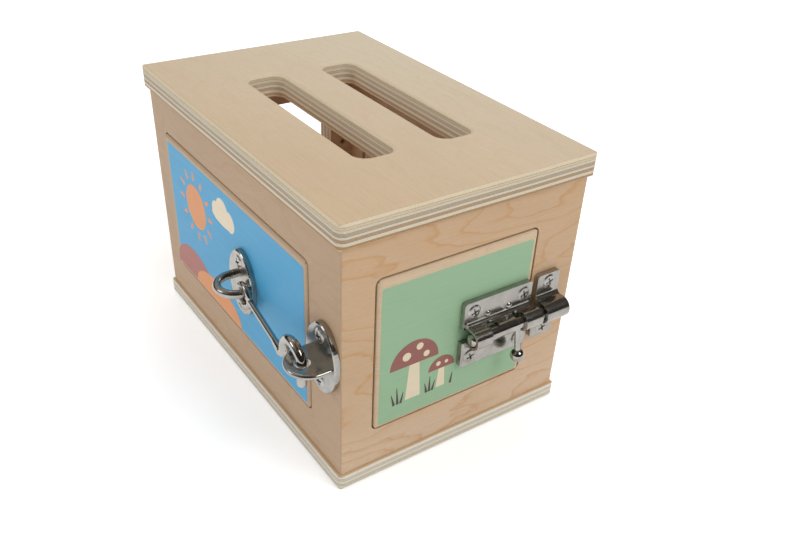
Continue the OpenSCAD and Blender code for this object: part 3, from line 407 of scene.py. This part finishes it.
def turned_wood(name):
    """Turned beech with upright grain, matt."""
    made, tree, shader, place = new_material(name)
    upright_grain = add(tree, "VectorMath", {0: place, 1: DOWEL_GRAIN}, operation="MULTIPLY")
    fibres = add(tree, "TexNoise", {"Vector": upright_grain, "Scale": 1.0, "Detail": 3.0, "Roughness": 0.6})
    colour = add(tree, "ValToRGB", {0: fibres}, stops=[(0.3, linear(DOWEL_DARK)), (0.7, linear(DOWEL_PALE))])
    tree.links.new(colour, shader.inputs["Base Color"])
    relief = worn_relief(tree, edge_mm=0.3, relief=fibres, strength=0.3, depth_mm=0.1)
    tree.links.new(relief, shader.inputs["Normal"])
    shader.inputs["Roughness"].default_value = DOWEL_ROUGHNESS
    return made


DOWELS = ["lid_dowels", "base_dowels"]
dress(DOWELS, turned_wood("Turned beech dowel"))
print("dowel groups:", len(DOWELS))

# %% [markdown]
# ## Locks, screws and pins
# The locks and screws are steel plated with nickel: a warm grey mirror, a little cloudy where it was
# handled, with edges that the barrel polishing wore round. A bevel in the shader gives those edges a glint
# without more faces. The pins are plain drawn wire, duller, with drawing marks along their length.

# %% Nickel plate
CLOUD_MM = 6.25             # size of a cloudy patch
RIPPLES = 2.2               # ripples of the polished face per millimetre
RIPPLE_BUMP, RIPPLE_DEPTH_MM = 0.06, 0.05


def plated(name, bright, dull, smooth, cloudy, edge_mm):
    """Nickel plate: bright where it is smooth, dull in cloudy patches, with a fine ripple and worn edges."""
    made, tree, shader, place = new_material(name)
    cloud = add(tree, "TexNoise", {"Vector": place, "Scale": 1 / CLOUD_MM, "Detail": 3.0, "Roughness": 0.6})
    ripple = add(tree, "TexNoise", {"Vector": place, "Scale": RIPPLES, "Detail": 2.0, "Roughness": 0.6})
    colour = add(tree, "ValToRGB", {0: cloud}, stops=[(0.35, linear(bright)), (0.75, linear(dull))])
    gloss = add(tree, "ValToRGB", {0: cloud}, stops=[(0.3, grey(smooth)), (0.75, grey(cloudy))])
    tree.links.new(colour, shader.inputs["Base Color"])
    tree.links.new(gloss, shader.inputs["Roughness"])
    relief = worn_relief(tree, edge_mm, ripple, RIPPLE_BUMP, RIPPLE_DEPTH_MM)
    tree.links.new(relief, shader.inputs["Normal"])
    shader.inputs["Metallic"].default_value = 1.0
    return made


print("cloudy patches", CLOUD_MM, "mm")

# %% Drawn wire
WIRE_MARKS = (6.0, 6.0, 0.08)    # drawing marks per millimetre, 0.2 mm wide so that they show
WIRE_DARK, WIRE_PALE = "#8f8f8d", "#b4b3b0"
WIRE_SMOOTH, WIRE_DULL = 0.3, 0.45


def drawn_steel(name):
    """Plain steel wire with drawing marks along its length, which is upright."""
    made, tree, shader, place = new_material(name)
    lengthwise = add(tree, "VectorMath", {0: place, 1: WIRE_MARKS}, operation="MULTIPLY")
    marks = add(tree, "TexNoise", {"Vector": lengthwise, "Scale": 1.0, "Detail": 2.0, "Roughness": 0.5})
    colour = add(tree, "ValToRGB", {0: marks}, stops=[(0.3, linear(WIRE_DARK)), (0.7, linear(WIRE_PALE))])
    gloss = add(tree, "ValToRGB", {0: marks}, stops=[(0.3, grey(WIRE_SMOOTH)), (0.7, grey(WIRE_DULL))])
    tree.links.new(colour, shader.inputs["Base Color"])
    tree.links.new(gloss, shader.inputs["Roughness"])
    shader.inputs["Metallic"].default_value = 1.0
    return made


print("drawing marks", WIRE_MARKS, "per mm")

# %% [markdown]
# Bars and hook are polished, the plates are a little duller because they were stamped from sheet, and the
# screws are duller still. Each kind is found by its name, and what is left over is the plates.

# %% Dress the metal
SCREWS = [name for name in nodes if name.endswith("_screws")]
PINS = [name for name in nodes if name.endswith("_pins")] + ["hasp_pin"]
BARS = ["hook", "bolt_rod", "bolt_knob", "latch_bar", "staple"]
PLATES = sorted(set(nodes) - set(boards) - set(DOWELS) - set(SCREWS) - set(PINS) - set(BARS))
dress(BARS, plated("Polished nickel-plated steel", "#b8b5af", "#a3a09a",
                   smooth=0.07, cloudy=0.15, edge_mm=0.25))
dress(PLATES, plated("Nickel-plated sheet steel", "#b6b3ad", "#a09d97",
                     smooth=0.15, cloudy=0.24, edge_mm=0.3))
dress(SCREWS, plated("Nickel-plated screw steel", "#bcb9b4", "#a5a29c",
                     smooth=0.24, cloudy=0.34, edge_mm=0.15))
dress(PINS, drawn_steel("Drawn steel pin"))
print("plates:", PLATES)
print("screw groups:", len(SCREWS), "pin groups:", len(PINS))

# %% [markdown]
# ## Ink
# Each door's face carries a coat of printing ink with a simple picture in two or three more inks. Ink on
# plywood is even in colour and half matt, but the fibres show through it, and here and there a speck. The
# picture could be painted in a material with masks, but ink films modelled as thin solids stay sharp at any
# distance and are easy to change one by one.

# %% Ink material
INK_ALONG, INK_ACROSS = 0.04, 1.2      # fibres per millimetre under the ink, along the grain and across it
INK_SPECKS, SPECK_SHADE = 1.1, 0.45    # specks per millimetre, and how dark they are
INK_TONES = (0.975, 1.02)              # how the fibres darken and lighten the ink
INK_MATT, INK_SATIN = 0.55, 0.42       # roughness between the fibres and on them
INK_BUMP, INK_DEPTH_MM = 0.15, 0.1


def ink(name, code, grain):
    """Printing ink on plywood: even colour with faint fibres along grain and a few specks, half matt."""
    made, tree, shader, place = new_material(name)
    stretch = [INK_ALONG if abs(part) > 0.5 else INK_ACROSS for part in grain]
    stretched = add(tree, "VectorMath", {0: place, 1: stretch}, operation="MULTIPLY")
    fibres = add(tree, "TexNoise", {"Vector": stretched, "Scale": 1.0, "Detail": 3.0, "Roughness": 0.6})
    dark, pale = (linear(code, light) for light in INK_TONES)
    tone = add(tree, "ValToRGB", {0: fibres}, stops=[(0.3, dark), (0.7, pale)])
    specks = add(tree, "TexNoise", {"Vector": place, "Scale": INK_SPECKS, "Detail": 1.0, "Roughness": 0.5})
    specks = add(tree, "ValToRGB", {0: specks}, stops=[(0.74, grey(0.0)), (0.907, grey(0.3))])
    sockets = {FACTOR: specks, COLOUR_A: tone, COLOUR_B: linear(code, SPECK_SHADE)}
    tone = add(tree, "Mix", sockets, COLOUR, data_type="RGBA")
    gloss = add(tree, "ValToRGB", {0: fibres}, stops=[(0.2, grey(INK_MATT)), (0.8, grey(INK_SATIN))])
    relief = add(tree, "Bump", {"Height": fibres, "Strength": INK_BUMP, "Distance": INK_DEPTH_MM * MM})
    tree.links.new(tone, shader.inputs["Base Color"])
    tree.links.new(gloss, shader.inputs["Roughness"])
    tree.links.new(relief, shader.inputs["Normal"])
    return made


print("ink ready, fibres every", round(1 / INK_ACROSS, 2), "mm")

# %% [markdown]
# ## Shapes on paper
# The pictures are first cut out flat, on paper that lies on the floor with u along X and v along Y. One unit
# is one millimetre here, a thousand times too large, because thin solids are safer to join at that size. A
# shape starts as a circle or a square and is stretched, tapered, rounded or cut in edit mode.

# %% Discs
def start():
    """Leaves nothing selected, so that an operator works on the new shape alone."""
    bpy.ops.object.select_all(action="DESELECT")


def put(shape, u, v, turn):
    """Turns a shape by degrees, moves it to (u, v) and keeps its place in its mesh."""
    shape.rotation_euler = (0, 0, math.radians(turn))
    shape.location = (u, v, 0)
    bpy.ops.object.transform_apply(location=True, rotation=True, scale=True)
    return shape


def disc(u, v, r, wide=1.0, high=1.0, turn=0.0, sides=40):
    """Disc round (u, v), or an ellipse if it is stretched."""
    start()
    bpy.ops.mesh.primitive_circle_add(vertices=sides, radius=r, fill_type="NGON")
    bpy.ops.object.mode_set(mode="EDIT")
    bpy.ops.mesh.select_all(action="SELECT")
    bpy.ops.transform.resize(value=(wide, high, 1.0))
    bpy.ops.object.mode_set(mode="OBJECT")
    return put(bpy.context.object, u, v, turn)


print("discs ready")

# %% Tapered bars
def bar(u, v, length, foot, top, turn=0.0):
    """Upright bar standing on (u, v), foot wide below and top wide above."""
    start()
    bpy.ops.mesh.primitive_plane_add(size=1.0, location=(0, 0.5, 0))
    bpy.ops.object.transform_apply(location=True, rotation=True, scale=True)
    shape = bpy.context.object
    bpy.ops.object.mode_set(mode="EDIT")
    bpy.ops.mesh.select_all(action="SELECT")
    bpy.ops.transform.resize(value=(foot, length, 1.0), center_override=(0, 0, 0))
    bpy.ops.mesh.select_mode(type="VERT")
    bpy.ops.mesh.select_all(action="DESELECT")
    bpy.ops.object.mode_set(mode="OBJECT")
    for corner in shape.data.vertices:
        corner.select = corner.co.y > length / 2
    bpy.ops.object.mode_set(mode="EDIT")
    bpy.ops.transform.resize(value=(top / foot, 1.0, 1.0), center_override=(0, 0, 0))
    bpy.ops.object.mode_set(mode="OBJECT")
    return put(shape, u, v, turn)


print("bars ready")

# %% Sheets and cuts
CORNER_STEPS = 5


def sheet(u0, v0, u1, v1, corner):
    """Rectangle with rounded corners."""
    start()
    bpy.ops.mesh.primitive_plane_add(size=1.0)
    bpy.ops.object.mode_set(mode="EDIT")
    bpy.ops.mesh.select_all(action="SELECT")
    bpy.ops.transform.resize(value=(u1 - u0, v1 - v0, 1.0))
    bpy.ops.mesh.bevel(offset=corner, segments=CORNER_STEPS, affect="VERTICES")
    bpy.ops.object.mode_set(mode="OBJECT")
    return put(bpy.context.object, (u0 + u1) / 2, (v0 + v1) / 2, 0.0)


def keep_above(shape, v):
    """Cuts a shape off below height v."""
    start()
    shape.select_set(True)
    bpy.context.view_layer.objects.active = shape
    bpy.ops.object.mode_set(mode="EDIT")
    bpy.ops.mesh.select_all(action="SELECT")
    bpy.ops.mesh.bisect(plane_co=(0, v, 0), plane_no=(0, 1, 0), clear_inner=True)
    bpy.ops.object.mode_set(mode="OBJECT")
    return shape


print("sheets ready, corners in", CORNER_STEPS, "steps")

# %% [markdown]
# ## From paper to door
# The paper is hung on a door: stood upright, turned round to its side of the box and moved out to the door's
# face. The left door's paper also swings open with the door. Four matrices hold that, one for each door.

# %% Places of the doors
def upright(turn, out):
    """Stands paper up, turns it round by turn degrees and moves it out of the middle by out millimetres."""
    stand = Matrix.Rotation(math.radians(turn), 4, "Z") @ Matrix.Rotation(math.radians(90), 4, "X")
    return Matrix.Translation(stand.to_3x3() @ Vector((0, 0, out * MM))) @ stand


to_pin, from_pin = Matrix.Translation(LEFT_PIN * MM), Matrix.Translation(-LEFT_PIN * MM)
swing = to_pin @ Matrix.Rotation(OPEN, 4, "Z") @ from_pin
HANG = {"front_door": upright(0, LONG_DOOR), "right_door": upright(90, SHORT_DOOR),
        "back_door": upright(180, LONG_DOOR), "left_door": swing @ upright(-90, SHORT_DOOR)}
print("doors to print:", list(HANG))

# %% [markdown]
# ## Films of ink
# A film of ink is all the shapes of one colour: each gets the film's thickness, and they are joined with
# Boolean, so that shapes that cross become one clean solid. Then the film is hung on its door and shrunk to
# its real size. Films that cross lie one on the other, as ink does that is printed in several passes.

# %% Films of ink
FILM_MM = 0.03
GROUND, PICTURE, DETAIL = 0.005, 0.035, 0.065    # how far the films lie off the wood, one on the other
films = []


def film(name, door, shapes, material, lift):
    """Makes shapes one film of ink and hangs it on a door, lift millimetres off the wood."""
    start()
    for shape in shapes:
        bpy.context.view_layer.objects.active = shape
        thick = shape.modifiers.new("film", "SOLIDIFY")
        thick.thickness, thick.offset = FILM_MM, 1.0
        bpy.ops.object.modifier_apply(modifier="film")
    piece = shapes[0]
    bpy.context.view_layer.objects.active = piece
    for shape in shapes[1:]:
        union = piece.modifiers.new("union", "BOOLEAN")
        union.operation, union.solver, union.object = "UNION", "EXACT", shape
        bpy.ops.object.modifier_apply(modifier="union")
        bpy.data.objects.remove(shape)
    piece.name = name
    piece.select_set(True)
    piece.matrix_world = HANG[door] @ Matrix.Translation((0, 0, lift * MM)) @ Matrix.Scale(MM, 4)
    bpy.ops.object.transform_apply(location=True, rotation=True, scale=True)
    piece.data.materials.clear()
    piece.data.materials.append(material)
    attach(piece, door)
    films.append(piece)


print("films are", FILM_MM, "mm thick")

# %% [markdown]
# ## Front print
# The front door's ground is a bright blue that reaches to the rounded edge of the door, with corners a
# little rounded. On it stand a sun, two hills and a cloud, all from discs and tapered bars.

# %% Front print: sun, hills and cloud on blue
LONG_PRINT = (-79.6, 31.6, 70.9, 107.6)    # left, lower, right and upper edge on the paper, in mm
PRINT_CORNER = 1.2
SUN_U, SUN_V, SUN_R = -47, 82, 12.5
RAY_R, RAY_LENGTH, RAY_FOOT, RAY_TOP, RAY_STEP = 15.5, 5.0, 2.6, 1.4, 30
blue = ink("Blue printing ink", "#4ba7d5", RIGHT)
orange = ink("Orange printing ink", "#e69a62", RIGHT)
russet = ink("Russet printing ink", "#b47067", RIGHT)
cream = ink("Cream printing ink", "#efe0c4", RIGHT)
film("print_front_ground", "front_door", [sheet(*LONG_PRINT, PRINT_CORNER)], blue, GROUND)
sun = [disc(SUN_U, SUN_V, SUN_R)]
for turn in range(0, 360, RAY_STEP):
    u = SUN_U + RAY_R * math.sin(math.radians(turn))
    v = SUN_V + RAY_R * math.cos(math.radians(turn))
    sun.append(bar(u, v, RAY_LENGTH, RAY_FOOT, RAY_TOP, -turn))
film("print_front_sun", "front_door", sun, orange, PICTURE)
hill = keep_above(disc(-58, 34, 20, wide=1.25, high=0.8), LONG_PRINT[1])
film("print_front_hill", "front_door", [hill], russet, PICTURE)
low_hill = keep_above(disc(-28, 32, 22, wide=1.3, high=0.62), LONG_PRINT[1])
film("print_front_low_hill", "front_door", [low_hill], orange, DETAIL)
cloud = [disc(-12, 91, 12.5, high=0.3), disc(-19, 93, 5.2), disc(-12, 95.5, 7.0), disc(-4, 93, 5.6)]
film("print_front_cloud", "front_door", cloud, cream, PICTURE)
print("front print:", [piece.name for piece in films])

# %% [markdown]
# ## Right print
# The right door's ground is a soft green, and its picture two toadstools in the grass. The stems are bars,
# the caps are discs cut off at their foot, and their spots lie on top as one more film.

# %% Right print: toadstools on green
SHORT_PRINT = (-47.0, 31.0, 36.4, 106.3)
GRASS_V = 39.4
green = ink("Green printing ink", "#95b792", BACK)
russet_end = ink("Russet printing ink on the end", "#925a50", BACK)
cream_end = ink("Cream printing ink on the end", "#e2d3b7", BACK)
dark_end = ink("Dark brown printing ink on the end", "#4d3f3b", BACK)
film("print_right_ground", "right_door", [sheet(*SHORT_PRINT, PRINT_CORNER)], green, GROUND)
stems = [bar(-28, 40, 20, foot=8.5, top=5.5), bar(-12, 40, 11, foot=5.0, top=3.4)]
film("print_right_stems", "right_door", stems, cream_end, PICTURE)
caps = [keep_above(disc(-28, 60, 13.5, high=0.98), 60), keep_above(disc(-12, 51, 7.6, high=0.95), 51)]
film("print_right_caps", "right_door", caps, russet_end, PICTURE)
SPOTS = ((-32.5, 65.5, 2.3), (-25.5, 69, 1.9), (-21.5, 63.5, 1.7), (-14, 54.2, 1.3),
         (-9.3, 54, 1.0))     # place and radius of each spot
film("print_right_spots", "right_door", [disc(*spot) for spot in SPOTS], cream_end, DETAIL)
BLADES = ((-38.5, 7, 14), (-36.5, 10, 4), (-34.8, 6.5, -12), (-20, 6, 12), (-18.4, 9, 0), (-16.8, 6, -14),
          (-6, 6.5, -8))    # place along the door, length and lean of each blade
BLADE_FOOT, BLADE_TIP = 1.5, 0.3
blades = [bar(u, GRASS_V, length, BLADE_FOOT, BLADE_TIP, lean) for u, length, lean in BLADES]
film("print_right_grass", "right_door", blades, dark_end, DETAIL)
print("films so far:", len(films))

# %% [markdown]
# ## Back and left prints
# The two far doors get prints of the same kind: a moon with stars on red, and flowers on yellow. A star is
# three thin ellipses that cross, a flower six petals round a heart on a stalk with a leaf.

# %% Back print: moon and stars on red
red = ink("Red printing ink", "#b9705f", RIGHT)
cream_back = ink("Cream printing ink on the back", "#e6d8bc", RIGHT)
film("print_back_ground", "back_door", [sheet(*LONG_PRINT, PRINT_CORNER)], red, GROUND)
film("print_back_moon", "back_door", [disc(-45, 78, 15)], cream_back, PICTURE)
film("print_back_shade", "back_door", [disc(-38.5, 81, 12.5)], red, DETAIL)
STARS = ((-12, 92, 4.0), (4, 78, 3.0), (-22, 60, 3.2), (-60, 48, 2.6), (20, 96, 3.4),
         (-2, 46, 2.8))       # place and radius of each star
STAR_THIN, STAR_SIDES = 0.24, 24
stars = [disc(u, v, r, high=STAR_THIN, turn=turn, sides=STAR_SIDES)
         for u, v, r in STARS for turn in (0, 60, 120)]
film("print_back_stars", "back_door", stars, cream_back, PICTURE)
print("films so far:", len(films))

# %% Left print: flowers on yellow
yellow = ink("Yellow printing ink", "#d9b568", LEFT_ALONG)
cream_left = ink("Cream printing ink on the left", "#ece1c8", LEFT_ALONG)
stalk_green = ink("Leaf green printing ink", "#7d9a6a", LEFT_ALONG)
heart = ink("Russet printing ink on the left", "#a5665e", LEFT_ALONG)
FLOWERS = ((28, 74, 7.0), (12, 88, 6.0), (38, 52, 5.0))    # place and radius of each flower
STALK_V, STALK_FOOT, STALK_TOP = 36, 1.8, 1.4
LEAF_R, LEAF_THIN, LEAF_ASIDE, LEAF_UP, LEAF_LEAN = 4.6, 0.4, 3.2, 0.4, -35
PETAL_OUT, PETAL_R, HEART_R = 0.62, 0.52, 0.36             # parts of the flower's radius
mirrored = (-SHORT_PRINT[2], SHORT_PRINT[1], -SHORT_PRINT[0], SHORT_PRINT[3])
film("print_left_ground", "left_door", [sheet(*mirrored, PRINT_CORNER)], yellow, GROUND)
stalks = [bar(u, STALK_V, v - STALK_V - r, STALK_FOOT, STALK_TOP) for u, v, r in FLOWERS]
for u, v, _ in FLOWERS:
    leaf_v = STALK_V + (v - STALK_V) * LEAF_UP
    stalks.append(disc(u - LEAF_ASIDE, leaf_v, LEAF_R, high=LEAF_THIN, turn=LEAF_LEAN))
film("print_left_stalks", "left_door", stalks, stalk_green, PICTURE)
petals = []
for u, v, r in FLOWERS:
    for turn in range(0, 360, 60):
        petal_u = u + r * PETAL_OUT * math.cos(math.radians(turn))
        petal_v = v + r * PETAL_OUT * math.sin(math.radians(turn))
        petals.append(disc(petal_u, petal_v, r * PETAL_R))
film("print_left_petals", "left_door", petals, cream_left, PICTURE)
hearts = [disc(u, v, r * HEART_R) for u, v, r in FLOWERS]
film("print_left_hearts", "left_door", hearts, heart, DETAIL)
print("films:", len(films), "faces:", sum(len(piece.data.polygons) for piece in films))

# %% [markdown]
# ## Floor and surround
# The box stands on white paper that keeps its shadow, before a white surround. Lamps bright enough to burn
# the paper white would burn the wood as well, so the paper glows a little towards the camera instead, more
# so far away, where the lamps don't reach. In mirror images it glows less, and most before the front, where
# the hook hangs. What the plating mirrors above the horizon is a dim room with one pale wall on the left
# front: that gives it the contrast of polished metal.

# %% Floor
FLOOR_M, FLOOR_DROP_M = 8.0, 0.0002    # size, and how far it lies under the box, so that no face meets it
PAPER_CLOUD_MM, PAPER_DARK, PAPER_PALE, PAPER_ROUGHNESS = 50.0, 0.93, 0.96, 0.9
start()
bpy.ops.mesh.primitive_plane_add(size=FLOOR_M, location=(0, 0, -FLOOR_DROP_M))
floor = bpy.context.object
floor.name = "studio_floor"
paper, tree, shader, place = new_material("White studio paper")
sockets = {"Vector": place, "Scale": 1 / PAPER_CLOUD_MM, "Detail": 2.0, "Roughness": 0.5}
clouds = add(tree, "TexNoise", sockets)
white = add(tree, "ValToRGB", {0: clouds}, stops=[(0.3, grey(PAPER_DARK)), (0.7, grey(PAPER_PALE))])
tree.links.new(white, shader.inputs["Base Color"])
shader.inputs["Roughness"].default_value = PAPER_ROUGHNESS
floor.data.materials.append(paper)
print("floor", FLOOR_M, "m wide")

# %% Glow of the floor
NEAR_GLOW, FAR_GLOW = 0.36, 1.0        # glow towards the camera, near the box and far from it
NEAR_MM, FAR_MM = 500.0, 1500.0        # how far away the glow begins and ends to grow
DIM_GLOW, FRONT_GLOW = 0.08, 0.3       # glow in mirror images, elsewhere and before the front
INSIDE_Y, FRONT_Y = -20.0, -70.0       # where that glow begins and ends to grow
sockets = {0: add(tree, "LightPath", get="Is Glossy Ray"),
           1: add(tree, "LightPath", get="Is Transmission Ray")}
mirror_ray = add(tree, "Math", sockets, operation="MAXIMUM")
sockets = {"Value": add(tree, "SeparateXYZ", {0: place}, "Y"), "From Min": INSIDE_Y, "From Max": FRONT_Y,
           "To Min": DIM_GLOW, "To Max": FRONT_GLOW}
mirror_glow = add(tree, "Math", {0: mirror_ray, 1: add(tree, "MapRange", sockets)}, operation="MULTIPLY")
sockets = {"Value": add(tree, "VectorMath", {0: place}, "Value", operation="LENGTH"), "From Min": NEAR_MM,
           "From Max": FAR_MM, "To Min": NEAR_GLOW, "To Max": FAR_GLOW}
glow = add(tree, "MapRange", sockets)
sockets = {0: add(tree, "LightPath", get="Is Camera Ray"), 1: glow, 2: mirror_glow}
shader.inputs["Emission Color"].default_value = grey(1.0)
tree.links.new(add(tree, "Math", sockets, operation="MULTIPLY_ADD"), shader.inputs["Emission Strength"])
print("glow", NEAR_GLOW, "to", FAR_GLOW)

# %% Surround
ROOM = [(0.5, "#2c2722"), (0.75, "#393430"), (1.0, "#5c564e")]    # from the horizon to straight above
PALE_WALL, PALE_WAY = "#c2bab0", (-0.8, -0.6, 0.0)                # the pale wall and the way to it
PALE_SIDES, PALE_HEIGHTS = (0.1, 0.7), (0.3, 0.55)                # how it fades in sideways and upwards
FILL = 0.65                                                       # plain light from all sides
world = bpy.data.worlds.new("White studio")
bpy.context.scene.world = world
world.use_nodes = True
tree = world.node_tree
way = add(tree, "TexCoord", get="Generated")
height = add(tree, "SeparateXYZ", {0: way}, "Z")
level = add(tree, "Math", {0: height, 1: 0.5, 2: 0.5}, operation="MULTIPLY_ADD")
room = add(tree, "ValToRGB", {0: level}, stops=[(at, linear(code)) for at, code in ROOM])
side = add(tree, "VectorMath", {0: way, 1: PALE_WAY}, "Value", operation="DOT_PRODUCT")
side = add(tree, "MapRange", {"Value": side, "From Min": PALE_SIDES[0], "From Max": PALE_SIDES[1]})
raised = add(tree, "MapRange", {"Value": height, "From Min": PALE_HEIGHTS[0], "From Max": PALE_HEIGHTS[1]})
pale = add(tree, "Math", {0: side, 1: raised}, operation="MULTIPLY")
sockets = {FACTOR: pale, COLOUR_A: room, COLOUR_B: linear(PALE_WALL)}
room = add(tree, "Mix", sockets, COLOUR, data_type="RGBA")
sockets = {FACTOR: add(tree, "LightPath", get="Is Glossy Ray"), COLOUR_A: grey(FILL), COLOUR_B: room}
light = add(tree, "Mix", sockets, COLOUR, data_type="RGBA")
sockets = {FACTOR: add(tree, "LightPath", get="Is Camera Ray"), COLOUR_A: light, COLOUR_B: grey(1.0)}
surround = add(tree, "Mix", sockets, COLOUR, data_type="RGBA")
tree.links.new(surround, tree.nodes["Background"].inputs["Color"])
print("surround ready, plain light", FILL)

# %% [markdown]
# ## Lamps
# Three soft square lamps light the box as in a small studio: the strongest from the right, one from above
# the far end, and a weaker one from the left front, so that the front stays a shade darker than the right
# end.

# %% Lamps
def lamp(name, place, target, size, watts):
    """Square soft lamp at place, shining at target, in metres."""
    data = bpy.data.lights.new(name, "AREA")
    data.size = size
    data.energy = watts
    made = bpy.data.objects.new(name, data)
    bpy.context.scene.collection.objects.link(made)
    made.location = place
    made.rotation_euler = (Vector(target) - Vector(place)).to_track_quat("-Z", "Y").to_euler()
    print(name, watts, "W")


lamp("right_lamp", (0.95, 0.35, 1.05), (0, 0, 0.07), size=0.6, watts=4.7)
lamp("top_lamp", (-0.6, 0.45, 1.3), (-0.05, 0, 0.1), size=0.9, watts=4.6)
lamp("left_lamp", (-0.5, -1.2, 0.7), (0, 0, 0.07), size=0.5, watts=2.0)

# %% [markdown]
# ## Camera
# The place, angle and focal length were worked out from the corners of the box in the photograph, which is
# 800 pixels wide. A small shift keeps the picture's middle where the photograph has it.

# %% Camera
IMAGE_W, IMAGE_H, SENSOR_MM = 800, 534, 36.0
AZIMUTH, ELEVATION, ROLL = (math.radians(turn) for turn in (53.891, 35.762, 2.939))
FOCAL_PX, CENTRE_Y = 834.7, 327.0               # in pixels of the photograph
PLACE = Vector((337.179, -209.416, 294.373))    # in millimetres
level_back = Vector((math.sin(AZIMUTH), -math.cos(AZIMUTH), 0))
back = level_back * math.cos(ELEVATION) + Vector(UP) * math.sin(ELEVATION)
level_right = Vector((math.cos(AZIMUTH), math.sin(AZIMUTH), 0))
level_up = back.cross(level_right)
right = level_right * math.cos(ROLL) + level_up * math.sin(ROLL)
up = level_up * math.cos(ROLL) - level_right * math.sin(ROLL)
lens = bpy.data.cameras.new("photo_camera")
lens.sensor_width = SENSOR_MM
lens.lens = FOCAL_PX * SENSOR_MM / IMAGE_W
lens.shift_y = (CENTRE_Y - IMAGE_H / 2) / IMAGE_W
lens.clip_start = 0.01
camera = bpy.data.objects.new("photo_camera", lens)
bpy.context.scene.collection.objects.link(camera)
turned = Matrix((right, up, back)).transposed().to_4x4()
camera.matrix_world = Matrix.Translation(PLACE * MM) @ turned
bpy.context.scene.camera = camera
bpy.context.scene.view_settings.view_transform = "Standard"
print("camera ready, lens", round(lens.lens, 2), "mm")
